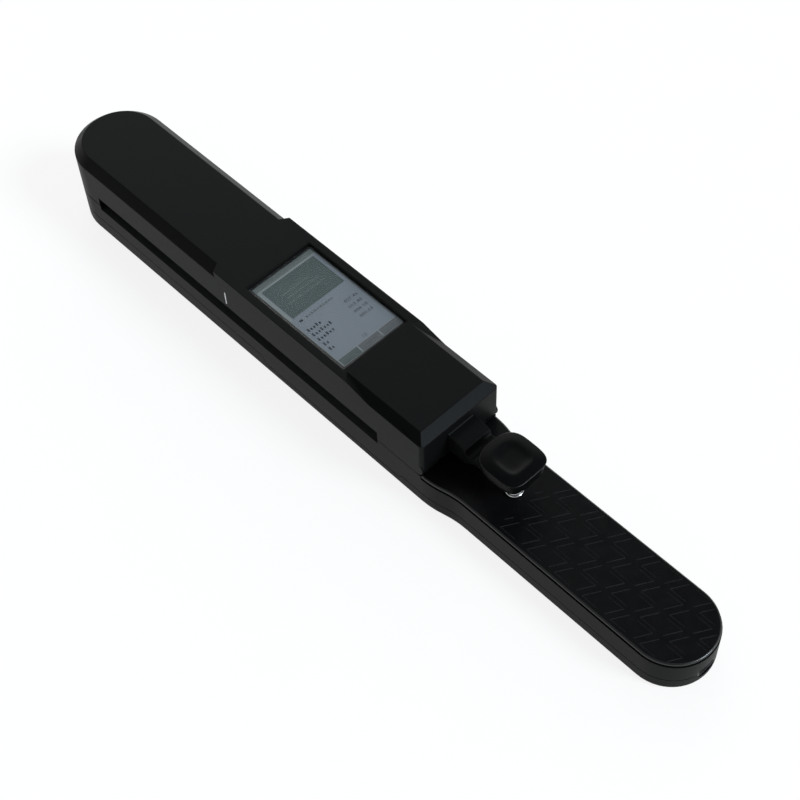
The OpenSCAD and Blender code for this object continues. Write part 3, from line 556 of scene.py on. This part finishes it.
def by_screen(p):
    """At the screen opening, down to the bottom of its rim."""
    across = abs(p.x) < screen_half + near
    return p.z > arm_high.z - screen_depth and across and screen_near < p.y < screen_far


def on_screen_edge(p):
    """Upper edges of the screen opening."""
    return by_screen(p) and p.z > arm_high.z - 2 * same_level


def on_arm_outside(p):
    """Other edges of the arm that show from outside: its sides, its top, its front and its nose."""
    side = abs(p.x) > arm_high.x - wall_depth and p.z > slot_roof
    end = p.y < arm_low.y + near or p.y > nose_start
    return not by_screen(p) and (side or p.z > arm_high.z - wall_depth or end)


arm = soft_copy("arm_housing", "arm_housing_soft_edges",
                dict(radius=0.7, segments=1, crisp=50, chosen=on_screen_edge),
                dict(radius=0.3, segments=2, crisp=25, chosen=on_arm_outside))
# Deeper black than the top is painted shade on the near slope; the extra gloss is the mould's.
slope_painted_shade = speckled("glossy_slope_painted_shade", (0.0004, 0.0005, 0.0005), (0.0006, 0.0007, 0.0007),
                        tone_size=0.7, rough=(0.36, 0.42), grain_size=0.20, grain_depth=0.004,
                        Specular_IOR_Level=0.092)
refinish(arm, slope_painted_shade, lambda f: abs(f.normal.x) > slope_lean and f.normal.z > slope_rise)

# %% [markdown]
# ## Thumb lever
# The tongue that carries the pad is one thick moulding. Its top bows down to a crisp crest before the
# pad, and it takes the same soft edges. Where it leaves the front face a small fillet catches the light.
# A strip with a slanting face is enough for that: at this size the hollow of a true fillet does not show.

# %% Thumb lever
tongue_half = 7.5
tongue_round = 0.3
fillet_run = 0.55
fillet_rise = 0.35
fillet_root = 0.4
fillet_toe = 0.05
fillet_overlap = 0.1


def on_tongue(p):
    """Edges of the lever outside the arm."""
    return p.y < arm_low.y - tongue_round


lever = soft_copy("thumb_lever", "thumb_lever_soft_edges",
                  dict(radius=tongue_round, segments=2, crisp=25, chosen=on_tongue))
tongue_top = max(v.co.z for v in lever.data.vertices if v.co.y / MM < arm_low.y + fillet_overlap) / MM
bm = bmesh.new()
block(bm, (-tongue_half, arm_low.y - fillet_run, tongue_top - fillet_root),
      (tongue_half, arm_low.y + fillet_overlap, tongue_top + fillet_rise))
outer = [v for v in bm.verts if v.co.y < arm_low.y and v.co.z > tongue_top]
bmesh.ops.translate(bm, vec=(0, 0, -fillet_rise - fillet_toe), verts=outer)
make_piece("tongue_fillet", bm, "arm", finishes["matte_shell"])

# %% [markdown]
# ## Thumb pad
# The pad is a rubber square with round corners, rounder on the side of the arm. Its wall leans out a
# little to a crisp rim, and from there a low crown leads to a dish for the thumb. A circle is pushed out
# to a rounded square once, and then the same ring is pulled up and in, step by step, like a pot on a
# wheel.

# %% Thumb pad
pad_low, pad_high = (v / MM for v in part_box("thumb_pad"))
pad_middle = (pad_low + pad_high) / 2
pad_half = (pad_high - pad_low) / 2
pad_rings = [(0.90, 0.0), (0.92, 0.2), (0.935, 2.0), (0.955, 4.0), (0.98, 5.8), (0.995, 6.6), (1.0, 6.8),
             (0.994, 6.95), (0.975, 7.07), (0.92, 7.27), (0.85, 7.5), (0.78, 7.72), (0.71, 7.89),
             (0.65, 7.98), (0.61, 8.0), (0.575, 7.95), (0.53, 7.8), (0.48, 7.58), (0.43, 7.4), (0.36, 7.27),
             (0.27, 7.19), (0.16, 7.15), (0.06, 7.14)]
corner_power = 3.5
corner_change = 0.8


def pad_reach(angle):
    """How far the rounded square of half width 1 reaches at an angle."""
    power = corner_power - corner_change * math.sin(angle)
    return (abs(math.cos(angle)) ** power + abs(math.sin(angle)) ** power) ** (-1 / power)


def grow(bm, ring):
    """Extrudes a ring of edges, and gives the new edges and the new vertices."""
    grown = bmesh.ops.extrude_edge_only(bm, edges=ring)["geom"]
    edges = [g for g in grown if isinstance(g, bmesh.types.BMEdge)]
    return edges, [g for g in grown if isinstance(g, bmesh.types.BMVert)]


bm = bmesh.new()
bmesh.ops.create_circle(bm, cap_ends=True, segments=64, radius=1)
for vert in bm.verts:
    vert.co *= pad_reach(math.atan2(vert.co.y, vert.co.x))
ring = list(bm.edges)
first_share = pad_rings[0][0]
bmesh.ops.scale(bm, vec=(first_share, first_share, 1), verts=bm.verts)
for (last_share, last_rise), (share, rise) in zip(pad_rings, pad_rings[1:]):
    ring, rim = grow(bm, ring)
    growth = share / last_share
    bmesh.ops.scale(bm, vec=(growth, growth, 1), verts=rim)
    bmesh.ops.translate(bm, vec=(0, 0, rise - last_rise), verts=rim)
bmesh.ops.holes_fill(bm, edges=ring)
bmesh.ops.scale(bm, vec=(pad_half.x, pad_half.y, 1), verts=bm.verts)
bmesh.ops.translate(bm, vec=(pad_middle.x, pad_middle.y, pad_low.z), verts=bm.verts)
bmesh.ops.recalc_face_normals(bm, faces=bm.faces)
pad = make_piece("thumb_pad_dished", bm, "arm", finishes["black_rubber"],
                 ("thumb_pad",), smooth=60)

# %% [markdown]
# The thumb rubs the dish a little glossier, and the wall is as smooth as the mould left it. Both are the
# same rubber, so they differ from the crown only in gloss.

# %% Gloss of the pad
dish_end = 0.60
rim_start = 0.88
wall_down, wall_up = -0.5, 0.92
rubbed = speckled("rubbed_rubber", *rubber_tones,
                  tone_size=1.5, rough=(0.38, 0.44), grain_size=0.14, grain_depth=0.004,
                  Specular_IOR_Level=0.058)
smooth_side = speckled("smooth_rubber_side", *rubber_tones,
                       tone_size=1.5, rough=(0.34, 0.40), grain_size=0.14, grain_depth=0.004,
                       Specular_IOR_Level=0.16)


def pad_share(face):
    """How far out a face of the pad lies: 0 in the middle and 1 at the rim."""
    across = (face.center.x / MM - pad_middle.x) / pad_half.x
    along = (face.center.y / MM - pad_middle.y) / pad_half.y
    return math.hypot(across, along) / pad_reach(math.atan2(along, across))


refinish(pad, rubbed, lambda f: f.normal.z > 0 and pad_share(f) < dish_end)
refinish(pad, smooth_side, lambda f: wall_down < f.normal.z < wall_up and pad_share(f) > rim_start)

# %% [markdown]
# ## Return spring
# A compression spring of bright wire stands under the pad. Its end turns lie close together so that it
# stands flat. Spinning a small circle about the axis while it climbs makes the wire: a slow climb gives
# the closed turns and a fast one the open turns. Half a turn puts the wire's two ends on opposite sides,
# so the lower one is hidden at the back and the upper one keeps clear of the pad when it tilts.

# %% Return spring
spring_low, spring_high = (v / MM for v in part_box("return_spring"))
wire = 1.1
wire_sides = 12
wire_start = 20
coil_radius = (spring_high.x - spring_low.x - wire) / 2
steps_per_turn = 28
closed_turns = 1
open_turns = 4.5
open_pitch = (spring_high.z - spring_low.z - wire - 2 * closed_turns * wire) / open_turns
bm = bmesh.new()
bmesh.ops.create_circle(bm, segments=wire_sides, radius=wire / 2)
bmesh.ops.rotate(bm, matrix=Matrix.Rotation(math.pi / 2, 3, "X"), verts=bm.verts)
bmesh.ops.translate(bm, vec=(coil_radius, 0, wire / 2), verts=bm.verts)
first_ring = list(bm.edges)
ring = first_ring
for turns, pitch in ((closed_turns, wire), (open_turns, open_pitch), (closed_turns, wire)):
    spun = bmesh.ops.spin(bm, geom=ring, cent=(0, 0, 0), axis=(0, 0, 1),
                          dvec=(0, 0, pitch / steps_per_turn),
                          angle=turns * 2 * math.pi, steps=round(turns * steps_per_turn))
    ring = [g for g in spun["geom_last"] if isinstance(g, bmesh.types.BMEdge)]
bmesh.ops.holes_fill(bm, edges=first_ring + ring)
bmesh.ops.recalc_face_normals(bm, faces=bm.faces)
bmesh.ops.rotate(bm, matrix=Matrix.Rotation(math.radians(wire_start), 3, "Z"), verts=bm.verts)
spring_axis = Vector(((spring_low.x + spring_high.x) / 2, (spring_low.y + spring_high.y) / 2, spring_low.z))
bmesh.ops.translate(bm, vec=spring_axis, verts=bm.verts)
spring = make_piece("return_spring_coil", bm, "base", finishes["bright_spring"],
                    ("return_spring",), smooth=50)
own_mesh(spring)

# %% [markdown]
# ## Grip plate
# The polished plate carries a fine engraved pattern: pairs of upright lines, each with a slanting line
# from one end, on a staggered grid. Lines are cut short where they would run over the plate's rounded
# edge, and left out where little of them would stay.

# %% Strokes of the pattern
plate_low, plate_high = (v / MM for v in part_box("grip_plate"))
columns = range(-2, 3)
rows = range(-1, 7)
column_pitch = 9.3
row_pitch = 15.55
pair_half = 0.95
upright_half = 4.25
slant = Vector((7.2, -4.2))
pattern_start = Vector((0.4, -103.6))
pattern_edge = 18.9
pattern_top = -98.0
grip_centre = plate_low.y + 20.2


def on_pattern(p):
    """Inside the flat part of the plate."""
    past_end = p.y < grip_centre and math.hypot(p.x, p.y - grip_centre) > pattern_edge
    return abs(p.x) < pattern_edge and p.y < pattern_top and not past_end


def cut_short(a, b, samples=60):
    """The part of a stroke that lies on the flat, or None where that is less than a third of it."""
    inside = [a.lerp(b, i / samples) for i in range(samples + 1)]
    inside = [p for p in inside if on_pattern(p)]
    return (inside[0], inside[-1]) if len(inside) > samples / 3 else None


strokes = []
for column in columns:
    for row in rows:
        middle = pattern_start + Vector((column * column_pitch, -row * row_pitch))
        middle.y -= row_pitch / 2 * (column % 2)
        for side in (-1, 1):
            corner = middle + Vector((side * pair_half, side * upright_half))
            strokes.append(cut_short(corner, corner - Vector((0, side * 2 * upright_half))))
            strokes.append(cut_short(corner, corner + side * slant))
strokes = [s for s in strokes if s]
print("strokes on the plate:", len(strokes))

# %% [markdown]
# Each stroke is a thin bar that lies with its axis just above the plate's top, so it cuts a shallow
# groove. All bars are one cutter. A cut leaves a matte floor, and the cutter hands its own finish to the
# faces that it makes.

# %% Cutter of the pattern
stroke_radius = 0.24
stroke_lift = 0.06
etched = speckled("etched_line", (0.009, 0.010, 0.010), (0.013, 0.014, 0.014),
                  tone_size=0.8, rough=(0.55, 0.65), grain_size=0.10, grain_depth=0.003,
                  Specular_IOR_Level=0.10)
bm = bmesh.new()
for a, b in strokes:
    way = b - a
    middle = (a + b) / 2
    bar = bmesh.ops.create_cone(bm, cap_ends=True, segments=8, radius1=stroke_radius, radius2=stroke_radius,
                                depth=way.length)["verts"]
    bmesh.ops.rotate(bm, matrix=Matrix.Rotation(math.pi / 2, 3, "X"), verts=bar)
    bmesh.ops.rotate(bm, matrix=Matrix.Rotation(math.atan2(-way.x, way.y), 3, "Z"), verts=bar)
    bmesh.ops.translate(bm, vec=(middle.x, middle.y, plate_high.z + stroke_lift), verts=bar)
cutter = to_object("pattern_cutter", bm, etched)
print("faces of the cutter:", len(cutter.data.polygons))

# %% [markdown]
# The CAD rounds the plate's edge in steps. Here a merged copy is cut off below the steps, drawn up again
# to its full height and given a true round. The recess for the spring's stud is left out, because the
# stud fills it, and the straight edge by the arm stays crisp.

# %% Plate with a true round
plate_round = 0.8
below_steps = 0.05
stud_reach = 4
edge_gap = 0.1
bm = merged_copy("grip_plate")
bmesh.ops.bisect_plane(bm, geom=bm.verts[:] + bm.edges[:] + bm.faces[:],
                       plane_co=(0, 0, plate_high.z - plate_round - below_steps),
                       plane_no=(0, 0, 1), clear_outer=True)
by_stud = [v for v in bm.verts if (v.co - spring_axis).xy.length < stud_reach]
recess = [v for v in by_stud if v.co.z > plate_low.z + edge_gap]
bmesh.ops.delete(bm, geom=recess, context="VERTS")
top_edges, lifted = grow(bm, [e for e in bm.edges if len(e.link_faces) == 1])
bmesh.ops.translate(bm, vec=(0, 0, plate_round + below_steps), verts=lifted)
bmesh.ops.contextual_create(bm, geom=top_edges)
bmesh.ops.recalc_face_normals(bm, faces=bm.faces)
grip_edges = [e for e in top_edges if min(v.co.y for v in e.verts) < plate_high.y - edge_gap]
round_edges(bm, grip_edges, plate_round, segments=5)
print("open edges of the plate:", sum(len(e.link_faces) != 2 for e in bm.edges))
plain_plate = to_object("plain_plate", bm, finishes["gloss_grip"])

# %% [markdown]
# A Boolean takes the cutter away from the plate, and its result becomes the piece. The round is buffed
# brighter than the top and draws the light line round the grip. The top itself is shaded flat.

# %% Engrave the plate
def made_mesh(thing):
    """A bmesh of an object as its modifiers or its curve make it. The object is removed."""
    shown = thing.evaluated_get(bpy.context.evaluated_depsgraph_get())
    bm = bmesh.new()
    bm.from_mesh(shown.to_mesh())
    bpy.data.objects.remove(thing)
    return bm


engrave = plain_plate.modifiers.new("engrave", "BOOLEAN")
engrave.operation = "DIFFERENCE"
engrave.solver = "EXACT"
engrave.use_self = True
engrave.material_mode = "TRANSFER"
engrave.object = cutter
bm = made_mesh(plain_plate)
bpy.data.objects.remove(cutter)
bmesh.ops.scale(bm, vec=(1 / MM,) * 3, verts=bm.verts)
plate = make_piece("grip_plate_engraved", bm, "base", finishes["gloss_grip"],
                   ("grip_plate",), smooth=25)
plate.data.materials.append(etched)
level_top = 0.9995
wall_end = 0.03
buffed = speckled("polished_edge", (0.0022, 0.0023, 0.0025), (0.0030, 0.0031, 0.0033),
                  tone_size=1.5, rough=(0.28, 0.34), grain_size=0.10, grain_depth=0.003,
                  Specular_IOR_Level=0.55)
refinish(plate, buffed, lambda f: wall_end < f.normal.z <= level_top and f.material_index == 0)
for face in plate.data.polygons:
    if face.normal.z > level_top:
        face.use_smooth = False
even_normals(plate)

# %% [markdown]
# ## Picture on the screen
# The display shows a header panel, rows of marks with numbers and three soft keys along the bottom. The
# rows are plain dashes and the values are plain numbers. Each layer is a thin plate under the cover
# glass, so the picture stays in place from any side.

# %% Tones of the picture
def ink(name, low, high):
    """A display tone with the faint grid of its cells."""
    material, tree, shader, place = new_finish(name, Specular_IOR_Level=0.2)
    cells = speckle(tree, stretched(tree, place, scale=(1, 0.15, 1)), size=0.4, detail=1.0)
    cloud = speckle(tree, place, size=14)
    colour_between(tree, shader, cloud, low, high)
    roughness_between(tree, shader, cells, low=0.45, high=0.55)
    return material


tones = {
    "pale": ((0.148, 0.170, 0.194), (0.160, 0.182, 0.208)),
    "header": ((0.052, 0.074, 0.072), (0.060, 0.082, 0.080)),
    "bright": ((0.180, 0.205, 0.206), (0.195, 0.220, 0.222)),
    "status": ((0.100, 0.118, 0.114), (0.110, 0.128, 0.124)),
    "faint": ((0.076, 0.102, 0.099), (0.084, 0.110, 0.107)),
    "key_dark": ((0.060, 0.078, 0.078), (0.068, 0.086, 0.086)),
    "key_light": ((0.080, 0.087, 0.094), (0.090, 0.097, 0.104)),
    "dark": ((0.020, 0.025, 0.034), (0.026, 0.031, 0.042)),
}
inks = {name: ink("display_" + name, low, high) for name, (low, high) in tones.items()}
print("display tones:", ", ".join(inks))

# %% [markdown]
# The picture is laid out in millimetres on the display, with x across and y towards the tip. Bright rules
# frame the page, the header and the keys.

# %% Panels, keys and rules
screen_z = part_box("display_module")[1].z / MM
layer = 0.02
left, right, foot, head = -17.1, 18.8, -3.6, 58.4
key_foot, key_head = -3.2, 0.9
rule_foot = -3.3


def picture(name, areas, level, tone):
    """Flat rectangles (x0, y0, x1, y1) of one tone at a level above the display."""
    bm = bmesh.new()
    for x0, y0, x1, y1 in areas:
        block(bm, (x0, y0, screen_z), (x1, y1, screen_z + level * layer))
    make_piece(name, bm, "arm", inks[tone])


rules = [
    (left, foot, right, rule_foot),
    (18.4, rule_foot, right, 54.1),
    (left, rule_foot, -16.7, 32.0),
    (left, 32.0, -15.4, 55.2),
    (-15.4, 54.4, 18.4, 55.2),
    (-5.5, rule_foot, -5.1, key_head),
    (7.1, rule_foot, 7.4, key_head),
    (-16.7, 1.0, 18.4, 1.3),
]
picture("screen_ground", [(left, foot, right, head)], level=1, tone="pale")
picture("screen_status_row", [(-16.9, 55.3, 18.6, head)], level=2, tone="status")
picture("screen_header", [(-15.0, 32.6, 16.4, 54.1)], level=4, tone="header")
picture("screen_key_dark", [(-16.5, key_foot, -5.7, key_head)], level=2, tone="key_dark")
light_keys = [(-4.9, key_foot, 6.9, key_head), (7.6, key_foot, 18.3, key_head)]
picture("screen_keys_light", light_keys, level=2, tone="key_light")
picture("screen_rules", rules, level=3, tone="bright")

# %% [markdown]
# Rows of dashes fill the page and the keys. The darker rows below the header are short marks of two
# heights.

# %% Rows of dashes
def dashes(x, y, widths, height, gap=0.45):
    """A row of dashes of the given widths, from x on."""
    areas = []
    for width in widths:
        areas.append((x, y - height / 2, x + width, y + height / 2))
        x += width + gap
    return areas


faint_rows = dashes(-10.0, 46.3, (3.2, 4.4, 2.4, 5.0), height=1.0)
faint_rows += dashes(-8.6, 43.3, (4.0, 5.6, 3.0, 4.2), height=1.0)
faint_rows += dashes(-10.6, 40.3, (3.4, 4.6, 3.6, 6.0, 2.0), height=1.0)
picture("screen_faint_rows", faint_rows, level=5, tone="faint")
note_row = dashes(-10.2, 29.2, (1.0, 0.6, 0.9, 1.2, 0.7, 1.0, 0.6, 1.2, 0.8, 0.6), height=1.1, gap=0.8)
picture("screen_note_row", note_row, level=2, tone="key_dark")
mark_start = -15.0
mark_pitch = 1.65
mark_width = 0.9
mark_drop = 0.9
dark_rows = dashes(-14.0, 29.2, (1.7,), height=1.3)
for y, count in ((22.7, 5), (19.2, 7), (15.6, 6), (11.9, 2), (8.2, 2)):
    for step in range(count):
        x = mark_start + mark_pitch * step
        mark_top = 1.1 if step % 3 == 0 else 0.4
        dark_rows.append((x, y - mark_drop, x + mark_width, y + mark_top))
picture("screen_dark_rows", dark_rows, level=2, tone="dark")
key_rows = dashes(-3.2, -1.2, (1.0, 0.7, 1.2, 0.8, 1.1, 0.6), height=0.9, gap=0.6)
key_rows += dashes(9.4, -1.2, (0.8, 1.2, 0.7, 1.0), height=0.9, gap=0.6)
picture("screen_key_rows", key_rows, level=3, tone="key_dark")

# %% [markdown]
# The numbers are text, made a mesh before it is put in its place, so their objects stay at the origin
# too.

# %% Numbers
def numbers(name, rows, size, level, tone):
    """Plain numbers, each row (text, right end x, y), as one thin mesh."""
    bm = bmesh.new()
    for text, end, y in rows:
        curve = bpy.data.curves.new(name, "FONT")
        curve.body = text
        curve.size = size
        curve.align_x = "RIGHT"
        curve.align_y = "CENTER"
        curve.extrude = layer / 2
        curve.offset = 0.04
        curve.space_character = 1.3
        curve.resolution_u = 3
        letters = bpy.data.objects.new(name, curve)
        bpy.context.scene.collection.objects.link(letters)
        part = made_mesh(letters)
        bmesh.ops.remove_doubles(part, verts=part.verts, dist=1e-5)
        bmesh.ops.translate(part, vec=(end, y, screen_z + level * layer), verts=part.verts)
        flat = bpy.data.meshes.new(name)
        part.to_mesh(flat)
        part.free()
        bm.from_mesh(flat)
        bpy.data.meshes.remove(flat)
    make_piece(name, bm, "arm", inks[tone])


values = [("027.46", 15.6, 23.3), ("013.82", 14.9, 19.5), ("004.10", 14.9, 15.9), ("000.63", 14.9, 12.2)]
numbers("screen_numbers", values, size=2.2, level=2, tone="dark")
numbers("screen_count", [("12", 2.6, 3.2)], size=2.3, level=2, tone="dark")

# %% [markdown]
# ## Index mark
# A short white line is printed on the near wall of the upper jaw, above the slot. It is a thin skin of
# paint, so it stands only a few hundredths of a millimetre proud.

# %% Index mark
paint_proud = 0.04
paint_depth = 0.2
paint_corner = 0.2
mark_low, mark_high = (71.25, 28.9), (72.0, 36.9)
paint = speckled("white_print", (0.62, 0.63, 0.62), (0.72, 0.73, 0.72),
                 tone_size=1.0, rough=(0.45, 0.6), grain_size=0.2, grain_depth=0.004)
bm = bmesh.new()
block(bm, (arm_low.x - paint_proud, *mark_low), (arm_low.x + paint_depth, *mark_high))
corners = [e for e in bm.edges if abs(e.verts[0].co.x - e.verts[1].co.x) > paint_proud]
round_edges(bm, corners, paint_corner)
make_piece("index_mark", bm, "arm", paint)

# %% [markdown]
# ## Screws
# The cover and the tray are held by small screws with a cross recess. One ring of vertices on the head is
# drawn in to a plus sign and pushed down, which is cheaper than cutting each recess.

# %% One screw
head_radius, head_height = 2.3, 1.4
head_rim = 0.5
cross_reach, cross_waist = 1.5, 0.55
cross_angle = 20
cross_depth = 0.8
cross_taper = 0.75
shank_radius, tip_radius = 1.18, 1.0


def screw(bm, x, y, low, high):
    """A screw with its head down, from low to high."""
    before = set(bm.verts)
    made = bmesh.ops.create_cone(bm, cap_ends=True, segments=24, radius1=head_radius, radius2=head_radius,
                                 depth=head_height)["verts"]
    face = min({f for v in made for f in v.link_faces}, key=lambda f: f.calc_center_median().z)
    bmesh.ops.inset_region(bm, faces=[face], thickness=head_rim, use_even_offset=True)
    for vert in face.verts:
        angle = math.degrees(math.atan2(vert.co.y, vert.co.x)) % 90
        on_arm = angle < cross_angle or angle > 90 - cross_angle
        vert.co.xy = vert.co.xy.normalized() * (cross_reach if on_arm else cross_waist)
    sunk = bmesh.ops.extrude_discrete_faces(bm, faces=[face])["faces"][0]
    bmesh.ops.translate(bm, vec=(0, 0, cross_depth), verts=list(sunk.verts))
    bmesh.ops.scale(bm, vec=(cross_taper, cross_taper, 1), verts=list(sunk.verts))
    length = high - low - head_height
    shank = bmesh.ops.create_cone(bm, cap_ends=True, segments=16, radius1=shank_radius, radius2=tip_radius,
                                  depth=length)["verts"]
    bmesh.ops.translate(bm, vec=(0, 0, (head_height + length) / 2), verts=shank)
    whole = [v for v in bm.verts if v not in before]
    bmesh.ops.translate(bm, vec=(x, y, low + head_height / 2), verts=whole)


# %% [markdown]
# The screws stand in pairs, left and right, with their heads down. One CAD node holds all screws of a
# set, so one piece takes its place.

# %% Sets of screws
jaw_screw_x = 18.1
grip_screw_x = 14.9


def pairs(x, rows):
    """Places on both sides of the middle, at each row's y."""
    return [(side * x, y) for side in (-1, 1) for y in rows]


def screw_set(name, node, places):
    """All screws of one CAD node, from the node's lowest to its highest point."""
    low, high = (v.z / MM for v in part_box(node))
    bm = bmesh.new()
    for x, y in places:
        screw(bm, x, y, low, high)
    bmesh.ops.recalc_face_normals(bm, faces=bm.faces)
    make_piece(name, bm, body_of[node], finishes["steel_screw"], (node,), smooth=30)


cover_places = pairs(jaw_screw_x, (155, 75, -39.5)) + pairs(grip_screw_x, (-118.5, -174))
screw_set("cover_screws_cross", "cover_screws", cover_places)
screw_set("tray_screws_cross", "tray_screws", pairs(jaw_screw_x, (-23, 70, 163)))

# %% [markdown]
# ## Charging port
# The socket in the grip's end has a thin tongue in its middle with gold contacts on both faces.

# %% Tongue of the port
socket_low, socket_high = (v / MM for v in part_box("charge_socket"))
socket_middle = (socket_low + socket_high) / 2
blade_half = 3.2
blade_rise = 0.35
blade_front, blade_back = socket_low.y + 1.0, socket_high.y - 0.2
blade_corner = 0.5
bm = bmesh.new()
block(bm, (-blade_half, blade_front, socket_middle.z - blade_rise),
      (blade_half, blade_back, socket_middle.z + blade_rise))
corners = [e for e in bm.edges if abs(e.verts[0].co.z - e.verts[1].co.z) > blade_rise]
round_edges(bm, corners, blade_corner, segments=3)
make_piece("socket_tongue", bm, "base", finishes["dark_moulding"])

# %% Contacts of the port
contact_pitch = 0.8
contact_half = 0.22
contact_proud = 0.03
contact_rise = blade_rise + contact_proud
contact_front, contact_back = socket_low.y + 1.5, socket_high.y - 0.4
gold = speckled("gold_contact", (0.72, 0.50, 0.20), (0.82, 0.60, 0.26),
                tone_size=0.4, rough=(0.18, 0.28), grain_size=0.1, grain_depth=0.002, Metallic=1.0)
bm = bmesh.new()
for step in range(-3, 4):
    x = step * contact_pitch
    block(bm, (x - contact_half, contact_front, socket_middle.z - contact_rise),
          (x + contact_half, contact_back, socket_middle.z + contact_rise))
make_piece("socket_contacts", bm, "base", gold)
